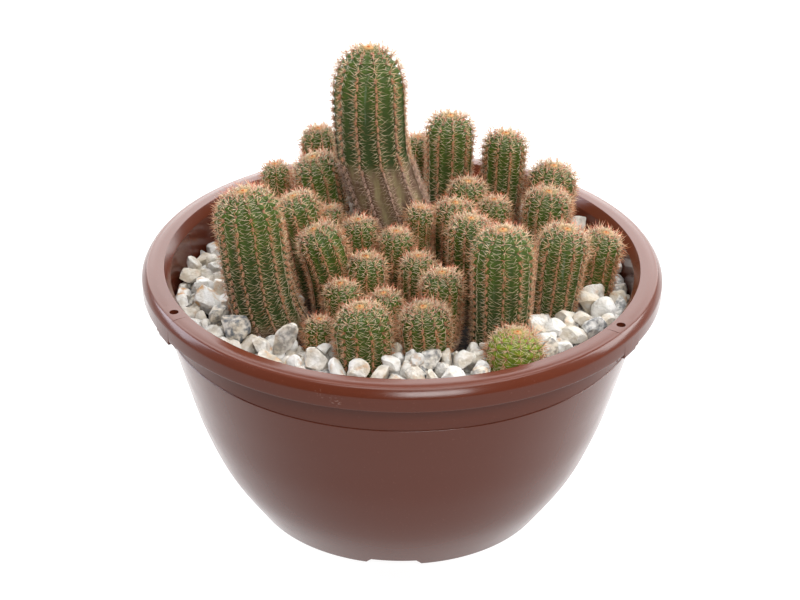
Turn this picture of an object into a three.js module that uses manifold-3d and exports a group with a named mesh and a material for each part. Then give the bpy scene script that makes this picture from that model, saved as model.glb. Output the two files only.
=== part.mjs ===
// A clump of ribbed, spiny cactus stems in a moulded hanging bowl, with potting mix and white gravel.
// Millimetres, +Z up. The origin is at the centre of the pot's foot.
import * as THREE from "three";
import { mergeVertices } from "three/addons/utils/BufferGeometryUtils.js";
import Module from "manifold-3d";

const wasm = await Module();
wasm.setup();

const GAP = 0.4; // air kept between neighbouring pieces

// Pot: a turned bowl with a flat rim, a skirt that hangs from it, and a foot ring
const POT = {
  sides: 44,
  wall: 2.6,
  footRadius: 88.5,
  footWidth: 4,
  footHeight: 3.4,
  floorTop: 6.2,
  ledgeRadius: 137,
  ledgeHeight: 121.5,
  recessRadius: 135.6,
  recessHeight: 122.3,
  neckRadius: 136.2,
  rimRadius: 150,
  rimTop: 154.2,
  rimRound: 3.6,
  rimThickness: 3.6,
  skirtBottom: 141.5,
  mouthRadius: 137,
  mouthBevel: 5,
};
const BODY_OUTLINE = [
  [88.5, 0],
  [107.8, 30.5],
  [120.4, 61],
  [129, 91.5],
  [136.2, 121.5],
];
// Three fixings for a hanger: a raised pad with a bore on the rim, over a socket inside the skirt
const HANGER = {
  azimuths: [-32, -152, 88],
  radius: 142,
  bore: 2.3,
  padWidth: 17,
  padRise: 0.5,
  padInset: 1,
  socketWidth: 15,
  socketDrop: 4,
  skirtInset: 0.7,
};
// Three slots in the foot ring let water run off, and six holes in the floor drain the soil
const NOTCH = { azimuths: [-92, 28, 148], width: 31, slant: 2.5, height: 3.1, length: 16 };
const DRAIN = { count: 6, ring: 60, bore: 2.5, turn: 30 };

// Soil and gravel
const SOIL = { top: 120, sides: 24 };
const GRAVEL = {
  spacing: 18.3,
  rows: 9,
  seam: 126.5,
  crown: 133,
  shoulder: 1.8,
  lift: 3,
  tilt: 0.35,
  leastTop: 0.66,
  topSpread: 0.14,
  seamScatter: 4.5,
  sides: 32,
  seed: 411,
};
// Where the stems stand too close for gravel to fall between them, soil shows
const BARE_SOIL = [
  [-66, -24],
  [-44, -54],
  [-20, -74],
  [14, -64],
  [50, -74],
  [84, -16],
  [80, 58],
  [24, 70],
  [8, 84],
  [-44, 78],
  [-62, 60],
  [-48, 12],
];
const FOOT_Z = 112; // the stems' lower ends, in their holes in the soil

// Stems: name, foot x and y, crown x, y and z, radius, share of the height that leads straight up,
// width at the foot as a share of the radius, ribs
const STEMS = [
  ["stem_02", -70, -27, -88, -34, 216, 18.5, 0.25, 1.05, 13],
  ["stem_03", -72, 68, -76, 73, 181, 8.5, 0.4, 0.7, 10],
  ["stem_04", -44, 82, -50, 90, 197, 11, 0.4, 0.7, 10],
  ["stem_05", -38, 47, -54, 54, 193, 12.5, 0.3, 0.65, 12],
  ["stem_06", -46, 10, -61, 4, 191, 12, 0.3, 0.65, 11],
  ["stem_07", -38, -15, -51, -19, 183, 12, 0.3, 0.65, 11],
  ["stem_08", -24, 12, -24, 12, 178, 10.3, 0.5, 0.7, 10],
  ["stem_09", -2, 0, -2, 0, 176, 9.8, 0.5, 0.7, 10],
  ["stem_10", 9, 17, 9.5, 17, 180, 7.8, 0.5, 0.7, 10],
  ["stem_11", -18, -24, -18, -24, 171, 11, 0.5, 0.72, 11],
  ["stem_12", 8, -20, 8, -20, 170, 10.3, 0.5, 0.7, 10],
  ["stem_13", 23, -43, 22, -45, 174, 11.5, 0.5, 0.7, 11],
  ["stem_14", -33, -46, -33, -46, 163, 10, 0.5, 0.75, 10],
  ["stem_15", -9, -52, -9, -52, 163, 10, 0.5, 0.75, 10],
  ["stem_16", -21, -79, -22, -81, 169, 16, 0.5, 0.75, 12],
  ["stem_17", 14, -70, 14, -71, 166, 14, 0.5, 0.75, 12],
  ["stem_18", -46, -60, -46, -62, 152, 8.5, 0.5, 0.8, 10],
  ["stem_19", 53, -52, 57, -57, 205, 18.2, 0.4, 0.82, 13],
  ["stem_20", 87, -18, 93, -21, 187, 13.8, 0.4, 0.8, 12],
  ["stem_21", 115, 8, 118, 5, 170, 11.2, 0.4, 0.75, 11],
  ["stem_22", 59, -88, 59, -88, 158, 15.5, 0.5, 0.8, 12],
  ["stem_23", 24, 72, 29.5, 76, 211, 13.8, 0.4, 0.7, 12],
  ["stem_24", 57, 70, 61.5, 76, 199, 12.3, 0.4, 0.7, 12],
  ["stem_25", 82, 60, 91, 69, 183, 14, 0.4, 0.7, 12],
  ["stem_26", 80, 30, 86, 35, 181, 13.3, 0.4, 0.7, 12],
  ["stem_27", 36, 48, 37, 50, 181, 11, 0.5, 0.7, 11],
  ["stem_28", 28, 18, 33.5, 24, 183, 11.8, 0.4, 0.7, 11],
  ["stem_29", 53, 32, 54, 34, 177, 9.7, 0.5, 0.7, 10],
  ["stem_30", 36, -12, 40, -7, 184, 12, 0.5, 0.7, 11],
  ["stem_31", 9, 92, 11, 97, 189, 9.5, 0.5, 0.7, 10],
  ["stem_32", -40, 26, -41, 26, 175, 6, 0.5, 0.7, 8],
];
// The tall stem leans on an old corky length, then stands straight: axis points with their radius
const TALL_STEM = {
  name: "stem_01_tall",
  ribs: 13,
  axis: [
    [7, 42, FOOT_Z, 15],
    [7, 42, 124, 16],
    [5, 42, 142, 17.3],
    [-6, 43.5, 172, 18],
    [-15.5, 45, 195, 17],
    [-18.5, 45, 205, 18.8],
    [-20, 45, 228, 19.5],
    [-20, 45, 268, 19.5],
  ],
  ringHeights: [222, 205, 196, 172, 145, FOOT_Z],
};
const RIB_DEPTH = 0.15; // groove depth as a share of the radius
const DOME = 0.95; // height of a stem's dome as a share of its radius
const DOME_POWER = 2.3; // above 2 the dome is blunter than a ball
const CROWN_DIP = 0.04; // how far the growing point lies below the dome's top, as a share of the radius
const TAPER_POWER = 1.6; // above 1 a stem narrows late, near its foot
const THICK_STEM = 16; // radius from which a stem has a hole of its own with more sides
const SPINE = {
  length: 6.5,
  root: 0.4,
  sunk: 1,
  lowest: 141,
  wallRadius: 131,
  stemGap: 0.6,
  spineGap: 1.6,
  least: 3.6,
  perArea: 0.006,
  leans: [0.75, -0.75, 0.2],
  seed: 73,
};
const GOLDEN = 0.381966; // turn from one spine to the next, which spreads them evenly over the ribs

// A repeatable draw between 0 and 1
function draws(seed) {
  let state = seed >>> 0;
  return () => {
    state = (state + 0x6d2b79f5) >>> 0;
    let t = Math.imul(state ^ (state >>> 15), 1 | state);
    t = (t + Math.imul(t ^ (t >>> 7), 61 | t)) ^ t;
    return ((t ^ (t >>> 14)) >>> 0) / 4294967296;
  };
}

// A closed geometry as a solid that can be joined and cut
function solid(geometry, matrix) {
  const bare = geometry.clone();
  bare.deleteAttribute("normal");
  bare.deleteAttribute("uv");
  if (matrix) bare.applyMatrix4(matrix);
  const merged = mergeVertices(bare, 1e-4);
  const vertProperties = merged.getAttribute("position").array;
  const triVerts = new Uint32Array(merged.index.array);
  return new wasm.Manifold(new wasm.Mesh({ numProp: 3, vertProperties, triVerts }));
}

// The largest closed body of a solid, as a geometry
function geometryOf(shape) {
  const bodies = shape.decompose().sort((a, b) => b.volume() - a.volume());
  const mesh = bodies[0].getMesh();
  const geometry = new THREE.BufferGeometry();
  geometry.setAttribute("position", new THREE.BufferAttribute(mesh.vertProperties, 3));
  geometry.setIndex(new THREE.BufferAttribute(mesh.triVerts, 1));
  geometry.computeVertexNormals();
  return geometry;
}

function turned(outline, sides) {
  const lathe = new THREE.LatheGeometry(outline.map(([r, z]) => new THREE.Vector2(r, z)), sides);
  return lathe.rotateX(Math.PI / 2);
}

// A place on the pot: radius and azimuth in degrees, with +X pointing outwards
function around(azimuth, radius, z) {
  const turn = new THREE.Matrix4().makeRotationZ(THREE.MathUtils.degToRad(azimuth));
  return turn.multiply(new THREE.Matrix4().makeTranslation(radius, 0, z));
}

const bodyCurve = new THREE.SplineCurve(BODY_OUTLINE.map(([r, z]) => new THREE.Vector2(r, z)));

// The pot's inner wall from its floor to its mouth, and its radius at a height
const insideWall = [0.05, 0.25, 0.6, 1].map((t) => bodyCurve.getPoint(t)).map((p) => [p.x - POT.wall, p.y]);
insideWall[0][1] = POT.floorTop;
insideWall.push([POT.neckRadius - POT.wall, POT.rimTop]);

function innerRadius(z) {
  const k = Math.max(1, insideWall.findIndex((p) => p[1] >= z));
  const [[lowR, lowZ], [highR, highZ]] = [insideWall[k - 1], insideWall[k]];
  return lowR + ((highR - lowR) * (z - lowZ)) / (highZ - lowZ);
}

function potOutline() {
  const { footRadius, footWidth, footHeight, neckRadius } = POT;
  const { rimRadius, rimTop, rimRound, skirtBottom } = POT;
  const outside = [0, 0.15, 0.35, 0.6].map((t) => bodyCurve.getPoint(t)).map((p) => [p.x, p.y]);
  const underRim = rimTop - POT.rimThickness;
  const corner = [0, 45, 90].map((degrees) => {
    const a = THREE.MathUtils.degToRad(degrees);
    return [rimRadius - rimRound * (1 - Math.cos(a)), rimTop - rimRound * (1 - Math.sin(a))];
  });
  return [
    [0, footHeight],
    [footRadius - footWidth, footHeight],
    [footRadius - footWidth, 0],
    ...outside,
    [POT.ledgeRadius, POT.ledgeHeight],
    [POT.recessRadius, POT.recessHeight],
    [neckRadius, underRim],
    [rimRadius - POT.wall, underRim],
    [rimRadius - POT.wall, skirtBottom],
    [rimRadius, skirtBottom],
    ...corner,
    [POT.mouthRadius, rimTop],
    [neckRadius - POT.wall, rimTop - POT.mouthBevel],
    ...insideWall.slice(0, -1).reverse(),
    [0, POT.floorTop],
  ];
}

// The hanger fixing without its bore; the socket shows below the skirt
function hangerFixing(azimuth) {
  const padLength = POT.rimRadius - POT.rimRound - POT.mouthRadius - HANGER.padInset;
  const padMiddle = POT.mouthRadius + HANGER.padInset + padLength / 2;
  const pad = new THREE.BoxGeometry(padLength, HANGER.padWidth, 2 * HANGER.padRise);
  const bottom = POT.skirtBottom - HANGER.socketDrop;
  const height = POT.rimTop - POT.rimThickness / 2 - bottom;
  const outer = POT.rimRadius - HANGER.skirtInset;
  const inner = POT.neckRadius - POT.wall / 2;
  const socket = new THREE.BoxGeometry(outer - inner, HANGER.socketWidth, height);
  return solid(pad, around(azimuth, padMiddle, POT.rimTop)).add(
    solid(socket, around(azimuth, (outer + inner) / 2, bottom + height / 2)),
  );
}

// An upright prism, for cutting a hole: its radius, sides, ends and the matrix of its place
function drill(radius, sides, bottom, top, place) {
  const shape = new THREE.CylinderGeometry(radius, radius, top - bottom, sides).rotateX(Math.PI / 2);
  return solid(shape.translate(0, 0, (top + bottom) / 2), place);
}

function footNotch(azimuth) {
  const half = NOTCH.width / 2;
  const outline = new THREE.Shape();
  outline.moveTo(-half - NOTCH.slant, -1);
  outline.lineTo(half + NOTCH.slant, -1);
  outline.lineTo(half - NOTCH.slant, NOTCH.height);
  outline.lineTo(-half + NOTCH.slant, NOTCH.height);
  const bar = new THREE.ExtrudeGeometry(outline, { depth: NOTCH.length, bevelEnabled: false });
  bar.rotateX(Math.PI / 2).rotateZ(Math.PI / 2);
  return solid(bar, around(azimuth, POT.footRadius - NOTCH.length / 2 - POT.footWidth / 2, 0));
}

function potShape() {
  let pot = solid(turned(potOutline(), POT.sides));
  for (const azimuth of HANGER.azimuths) {
    pot = pot.add(hangerFixing(azimuth));
    const place = around(azimuth, HANGER.radius, 0);
    pot = pot.subtract(drill(HANGER.bore, 8, POT.recessHeight, POT.rimTop + 2, place));
  }
  for (const azimuth of NOTCH.azimuths) pot = pot.subtract(footNotch(azimuth));
  for (let k = 0; k < DRAIN.count; k++) {
    const place = around(DRAIN.turn + (360 * k) / DRAIN.count, DRAIN.ring, 0);
    pot = pot.subtract(drill(DRAIN.bore, 6, 0, 2 * POT.floorTop, place));
  }
  return pot;
}

// One stem: the line of its axis, its radius along it and the places of its rings
function plainStem([name, footX, footY, crownX, crownY, crownZ, radius, upShare, footShare, ribs]) {
  const foot = new THREE.Vector3(footX, footY, FOOT_Z);
  const crown = new THREE.Vector3(crownX, crownY, crownZ);
  const knee = new THREE.Vector3(footX, footY, FOOT_Z + upShare * (crownZ - FOOT_Z));
  const axis = new THREE.QuadraticBezierCurve3(foot, knee, crown);
  const length = axis.getLength();
  const dome = DOME * radius;
  const body = length - dome;
  const width = (below) => {
    if (below < dome) return radius * domeShare(1 - below / dome);
    return radius * (1 - (1 - footShare) * ((below - dome) / body) ** TAPER_POWER);
  };
  const domeRings = radius > THICK_STEM ? [0.05, 0.35] : [0.08, 0.5];
  const steps = 1 + (body > 48) + (body > 75); // a long body bends, so it has more rings
  const rings = domeRings.map((share) => share * dome);
  for (let k = 0; k <= steps; k++) rings.push(dome + (k / steps) * body);
  return { name, axis, length, radius, width, ribs, rings };
}

function tallStem() {
  const points = TALL_STEM.axis.map(([x, y, z]) => new THREE.Vector3(x, y, z));
  const axis = new THREE.CatmullRomCurve3(points);
  const length = axis.getLength();
  const radius = TALL_STEM.axis.at(-1)[3];
  const dome = DOME * radius;
  const width = (below) => {
    if (below < dome) return radius * domeShare(1 - below / dome);
    const z = axis.getPointAt(1 - below / length).z;
    const k = Math.max(1, TALL_STEM.axis.findIndex((p) => p[2] >= z - 1e-6));
    const [a, b] = [TALL_STEM.axis[k - 1], TALL_STEM.axis[k]];
    const t = (z - a[2]) / (b[2] - a[2]);
    return a[3] + (b[3] - a[3]) * t * t * (3 - 2 * t);
  };
  const rings = [0.05, 0.35, 1].map((share) => share * dome);
  for (const z of TALL_STEM.ringHeights) {
    let low = 0;
    let high = 1;
    for (let k = 0; k < 30; k++) {
      const middle = (low + high) / 2;
      if (axis.getPointAt(middle).z < z) low = middle;
      else high = middle;
    }
    rings.push((1 - low) * length);
  }
  return { name: TALL_STEM.name, axis, length, radius, width, ribs: TALL_STEM.ribs, rings };
}

// Width of the dome at a share of its height, 0 at its foot and 1 at its top
function domeShare(up) {
  return Math.max(0, 1 - Math.max(0, up) ** DOME_POWER) ** (1 / DOME_POWER);
}

// A place on a stem's surface: distance below the crown, angle round the axis, share of the local width
function onStem(stem, below, angle, share) {
  const t = THREE.MathUtils.clamp(1 - below / stem.length, 0, 1);
  const centre = stem.axis.getPointAt(t);
  const up = stem.axis.getTangentAt(t);
  const side = new THREE.Vector3(0, 1, 0).cross(up).normalize();
  const front = up.clone().cross(side);
  const out = side.multiplyScalar(Math.cos(angle)).addScaledVector(front, Math.sin(angle));
  const width = stem.width(below);
  return { centre, up, out, point: centre.clone().addScaledVector(out, width * share) };
}

// A ribbed skin: each ring goes from crest to groove and back, and both ends are closed
function stemBody(stem) {
  const across = 2 * stem.ribs;
  const positions = [];
  const index = [];
  const crown = onStem(stem, 0, 0, 0).point;
  positions.push(crown.x, crown.y, crown.z - CROWN_DIP * stem.radius);
  for (const below of stem.rings) {
    for (let k = 0; k < across; k++) {
      const share = k % 2 ? 1 - RIB_DEPTH : 1;
      const { point } = onStem(stem, Math.min(below, stem.length), (2 * Math.PI * k) / across, share);
      positions.push(point.x, point.y, point.z);
    }
  }
  const foot = onStem(stem, stem.length, 0, 0).point;
  positions.push(foot.x, foot.y, foot.z);
  const last = positions.length / 3 - 1;
  for (let k = 0; k < across; k++) {
    const next = (k + 1) % across;
    index.push(0, 1 + k, 1 + next);
    for (let ring = 0; ring + 1 < stem.rings.length; ring++) {
      const [top, low] = [1 + ring * across, 1 + (ring + 1) * across];
      if (k % 2) index.push(top + k, low + k, top + next, top + next, low + k, low + next);
      else index.push(top + k, low + k, low + next, top + k, low + next, top + next);
    }
    const base = last - across;
    index.push(last, base + next, base + k);
  }
  const geometry = new THREE.BufferGeometry();
  geometry.setAttribute("position", new THREE.BufferAttribute(new Float32Array(positions), 3));
  geometry.setIndex(index);
  return solid(geometry);
}

// Points along a stem's axis with the width there, for keeping other things clear of it
function stations(stem) {
  const list = [];
  for (let below = 0; below < stem.length; below += 3) {
    list.push({ centre: onStem(stem, below + 0.01, 0, 0).centre, width: stem.width(below + 0.01) });
  }
  return list;
}

const stems = [tallStem(), ...STEMS.map(plainStem)];
for (const stem of stems) stem.stations = stations(stem);

function clearOfStems(point, gap, except) {
  return stems.every((stem) => stem === except
    || stem.stations.every(({ centre, width }) => centre.distanceTo(point) > width + gap));
}

const spines = []; // every spine's middle line so far, as points

function spineFits(line, stem) {
  const aboveRim = POT.rimTop + SPINE.length;
  const inPot = ({ x, y, z }) => z > SPINE.lowest && (z > aboveRim || Math.hypot(x, y) < SPINE.wallRadius);
  if (!line.every((p) => inPot(p) && clearOfStems(p, SPINE.stemGap, stem))) return false;
  return spines.every((other) => other.stem === stem
    || other.line.every((a) => line.every((b) => a.distanceTo(b) > SPINE.spineGap)));
}

// Three-sided spines, spread evenly over the crests of the ribs, crown first
function addSpines(stem, body) {
  const draw = draws(SPINE.seed + Math.round(stem.radius * 10) + Math.round(stem.length * 7));
  const count = Math.round(SPINE.least + SPINE.perArea * stem.radius * stem.length);
  const free = stem.length - (SPINE.lowest - FOOT_Z);
  let fused = body;
  for (let k = 0; k < count; k++) {
    const below = 0.08 * stem.radius + free * ((k + 0.5) / count) ** 1.25;
    const rib = Math.round((k * GOLDEN + 0.2 * draw()) * stem.ribs) % stem.ribs;
    for (const lean of SPINE.leans) {
      const place = onStem(stem, below, (2 * Math.PI * rib) / stem.ribs, 1);
      const across = place.up.clone().cross(place.out);
      const rise = below < DOME * stem.radius ? 0.9 : 0.25;
      const way = place.out.clone().addScaledVector(across, lean);
      way.addScaledVector(place.up, rise).normalize();
      const length = SPINE.length * (0.8 + 0.3 * draw());
      const root = place.point.clone().addScaledVector(place.out, -SPINE.sunk);
      const line = [0.2, 0.4, 0.6, 0.8, 1].map((t) => root.clone().addScaledVector(way, t * length));
      if (!spineFits(line, stem)) continue;
      const cone = new THREE.ConeGeometry(SPINE.root, length, 3).translate(0, length / 2, 0);
      const turn = new THREE.Quaternion().setFromUnitVectors(new THREE.Vector3(0, 1, 0), way);
      const matrix = new THREE.Matrix4().compose(root, turn, new THREE.Vector3(1, 1, 1));
      fused = fused.add(solid(cone, matrix));
      spines.push({ stem, line });
      break;
    }
  }
  return fused;
}

// The plain hole that a stem stands in, wide enough for it from its foot up to a height
function stemHole(stem, top) {
  const foot = onStem(stem, stem.length, 0, 0).centre;
  let reach = 0;
  for (let below = stem.length; below > 0; below -= 1) {
    const { centre } = onStem(stem, below, 0, 0);
    if (centre.z > top + 2) break;
    reach = Math.max(reach, Math.hypot(centre.x - foot.x, centre.y - foot.y) + stem.width(below));
  }
  const sides = stem.radius > THICK_STEM ? 8 : 6;
  const radius = (reach + GAP) / Math.cos(Math.PI / sides);
  const place = new THREE.Matrix4().makeTranslation(foot.x, foot.y, 0);
  return drill(radius, sides, FOOT_Z - GAP, POT.rimTop, place);
}

function soilShape() {
  const floor = POT.floorTop + GAP;
  const bends = insideWall.map((p) => p[1]).filter((z) => z > floor && z < SOIL.top);
  const wall = [floor, ...bends, SOIL.top].map((z) => [innerRadius(z) - 2 * GAP, z]);
  let soil = solid(turned([[0, floor], ...wall, [0, SOIL.top]], SOIL.sides));
  for (const stem of stems) soil = soil.subtract(stemHole(stem, SOIL.top));
  return soil;
}

// A bed of pebbles packed on a six-sided grid: each has a domed, tilted top of its own, and neighbours
// meet in a seam. The seams' corners are drawn once and shared, so that the bed is one closed body.
function pebbleBed(bottom) {
  const draw = draws(GRAVEL.seed);
  const rowStep = GRAVEL.spacing * Math.sqrt(0.75);
  const corners = new Map();
  const positions = [];
  const index = [];
  const vertex = (x, y, z) => positions.push(x, y, z) / 3 - 1;
  const corner = (x, y) => {
    const key = `${Math.round((2 * x) / GRAVEL.spacing)},${Math.round((3 * y) / rowStep)}`;
    if (!corners.has(key)) {
      const [dx, dy, dz] = [draw(), draw(), draw()].map((value) => GRAVEL.seamScatter * (value - 0.5));
      const top = vertex(x + dx, y + dy, GRAVEL.seam + dz);
      corners.set(key, { top, low: vertex(x + dx, y + dy, bottom) });
    }
    return corners.get(key);
  };
  const edges = new Map();
  const reach = GRAVEL.spacing / Math.sqrt(3);
  for (let row = -GRAVEL.rows; row <= GRAVEL.rows; row++) {
    for (let column = -GRAVEL.rows; column <= GRAVEL.rows; column++) {
      const x = (column + (row % 2 ? 0.5 : 0)) * GRAVEL.spacing;
      const y = row * rowStep;
      const [tiltX, tiltY, lift] = [draw() - 0.5, draw() - 0.5, GRAVEL.lift * (draw() - 0.5)];
      const size = GRAVEL.leastTop + GRAVEL.topSpread * draw();
      const ring = [];
      const rim = [];
      for (let k = 0; k < 6; k++) {
        const angle = (Math.PI * (2 * k + 1)) / 6;
        const [cx, cy] = [Math.cos(angle) * reach, Math.sin(angle) * reach];
        rim.push(corner(x + cx, y + cy));
        const share = size * (0.9 + 0.2 * draw());
        const z = GRAVEL.crown - GRAVEL.shoulder + lift + GRAVEL.tilt * (tiltX * cx + tiltY * cy);
        ring.push(vertex(x + share * cx, y + share * cy, z));
      }
      const crown = vertex(x + GRAVEL.lift * tiltX, y + GRAVEL.lift * tiltY, GRAVEL.crown + lift);
      const base = vertex(x, y, bottom);
      for (let k = 0; k < 6; k++) {
        const next = (k + 1) % 6;
        const [a, b] = [rim[k], rim[next]];
        index.push(crown, ring[k], ring[next], ring[k], a.top, b.top, ring[k], b.top, ring[next]);
        index.push(base, b.low, a.low);
        const twin = `${b.top},${a.top}`;
        if (edges.has(twin)) edges.delete(twin);
        else edges.set(`${a.top},${b.top}`, [a, b]);
      }
    }
  }
  for (const [a, b] of edges.values()) index.push(a.top, a.low, b.low, a.top, b.low, b.top);
  const geometry = new THREE.BufferGeometry();
  geometry.setAttribute("position", new THREE.BufferAttribute(new Float32Array(positions), 3));
  geometry.setIndex(index);
  return solid(geometry);
}

function gravelShape() {
  const bottom = SOIL.top + GAP;
  const side = [bottom, POT.rimTop].map((z) => [innerRadius(z) - 2 * GAP, z]);
  const disc = solid(turned([[0, bottom], ...side, [0, POT.rimTop]], GRAVEL.sides));
  let gravel = pebbleBed(FOOT_Z).intersect(disc);
  const opening = new THREE.Shape(BARE_SOIL.map(([x, y]) => new THREE.Vector2(x, y)));
  const well = new THREE.ExtrudeGeometry(opening, { depth: POT.rimTop - FOOT_Z, bevelEnabled: false });
  gravel = gravel.subtract(solid(well, new THREE.Matrix4().makeTranslation(0, 0, FOOT_Z)));
  for (const stem of stems) gravel = gravel.subtract(stemHole(stem, GRAVEL.crown));
  return gravel;
}

function piece(name, shape, color, roughness, metalness) {
  const material = new THREE.MeshStandardMaterial({ color, roughness, metalness });
  const mesh = new THREE.Mesh(geometryOf(shape), material);
  mesh.name = name;
  return mesh;
}

const plant = new THREE.Group();
plant.add(piece("pot", potShape(), "#7a4f45", 0.35, 0));
plant.add(piece("soil", soilShape(), "#3b2c22", 0.95, 0));
plant.add(piece("gravel", gravelShape(), "#d9d6cd", 0.8, 0));
for (const stem of stems) {
  plant.add(piece(stem.name, addSpines(stem, stemBody(stem)), "#4f6b34", 0.65, 0));
}

export default plant;
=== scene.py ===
"""A clump of ribbed, spiny cactus stems in a brown hanging bowl, dressed with white marble gravel.

Sizes in the classes are in millimetres, and they become metres where a mesh is made.
"""
import logging
import math
from dataclasses import dataclass, field
from enum import Enum
from typing import Any, Callable, NamedTuple

import bpy
import numpy as np
from mathutils import Matrix, Vector, noise


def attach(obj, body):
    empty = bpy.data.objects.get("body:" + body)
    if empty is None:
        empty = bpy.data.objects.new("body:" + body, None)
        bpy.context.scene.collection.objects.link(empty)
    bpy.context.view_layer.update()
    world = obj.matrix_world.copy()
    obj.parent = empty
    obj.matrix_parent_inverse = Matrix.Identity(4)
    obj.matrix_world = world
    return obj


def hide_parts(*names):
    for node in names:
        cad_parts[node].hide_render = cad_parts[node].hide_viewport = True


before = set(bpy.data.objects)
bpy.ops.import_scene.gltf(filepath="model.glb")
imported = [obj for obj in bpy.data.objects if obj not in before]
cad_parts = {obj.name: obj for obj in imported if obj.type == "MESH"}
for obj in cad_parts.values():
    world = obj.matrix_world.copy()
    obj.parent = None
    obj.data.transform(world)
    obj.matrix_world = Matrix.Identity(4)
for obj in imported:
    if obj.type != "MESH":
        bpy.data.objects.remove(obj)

LOG = logging.getLogger("cactus_bowl")
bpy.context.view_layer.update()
MM = 0.001
GOLDEN_TURN = math.pi * (3 - math.sqrt(5))
WHITE = (1.0, 1.0, 1.0, 1.0)
Shape = tuple[np.ndarray, np.ndarray]


def colour(code: str) -> tuple[float, float, float, float]:
    """Turns an sRGB hex value into linear red, green, blue and alpha.

    Args:
        code: The value, such as "#7a4f45".

    Returns:
        The four linear channels.
    """
    channels = [int(code[k : k + 2], 16) / 255 for k in (1, 3, 5)]
    linear = [c / 12.92 if c <= 0.04045 else ((c + 0.055) / 1.055) ** 2.4 for c in channels]
    return (*linear, 1.0)


def smooth(value: np.ndarray, low: float, high: float) -> np.ndarray:
    """Eases from 0 at low to 1 at high.

    Args:
        value: The numbers to ease.
        low: Where the result is 0.
        high: Where the result is 1.

    Returns:
        Numbers from 0 to 1.
    """
    t = np.clip((value - low) / (high - low), 0, 1)
    return t * t * (3 - 2 * t)


def connect(tree: bpy.types.NodeTree, node: bpy.types.Node, inputs: dict[int | str, Any]) -> None:
    """Links or sets a node's inputs.

    Args:
        tree: The node tree of the material.
        node: The node.
        inputs: Sockets or values by the input's name or number.
    """
    for name, value in inputs.items():
        if isinstance(value, bpy.types.NodeSocket):
            tree.links.new(value, node.inputs[name])
        else:
            node.inputs[name].default_value = value


def add_node(
    tree: bpy.types.NodeTree,
    kind: str,
    inputs: dict[int | str, Any],
    output: int | str = 0,
    **settings: Any,
) -> bpy.types.NodeSocket:
    """Adds a shader node with its settings and links.

    Args:
        tree: The node tree of the material.
        kind: The node's type, without the words ShaderNode.
        inputs: Sockets or values by the input's name or number.
        output: The name or number of the output that is wanted.
        **settings: The node's own properties; stops are a colour ramp's places and colours.

    Returns:
        The wanted output.
    """
    node = tree.nodes.new(f"ShaderNode{kind}")
    for place, (where, code) in enumerate(settings.pop("stops", ())):
        ramp = node.color_ramp.elements
        stop = ramp[place] if place < 2 else ramp.new(where)
        stop.position = where
        stop.color = colour(code)
    for name, value in settings.items():
        setattr(node, name, value)
    connect(tree, node, inputs)
    return node.outputs[output]


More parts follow.
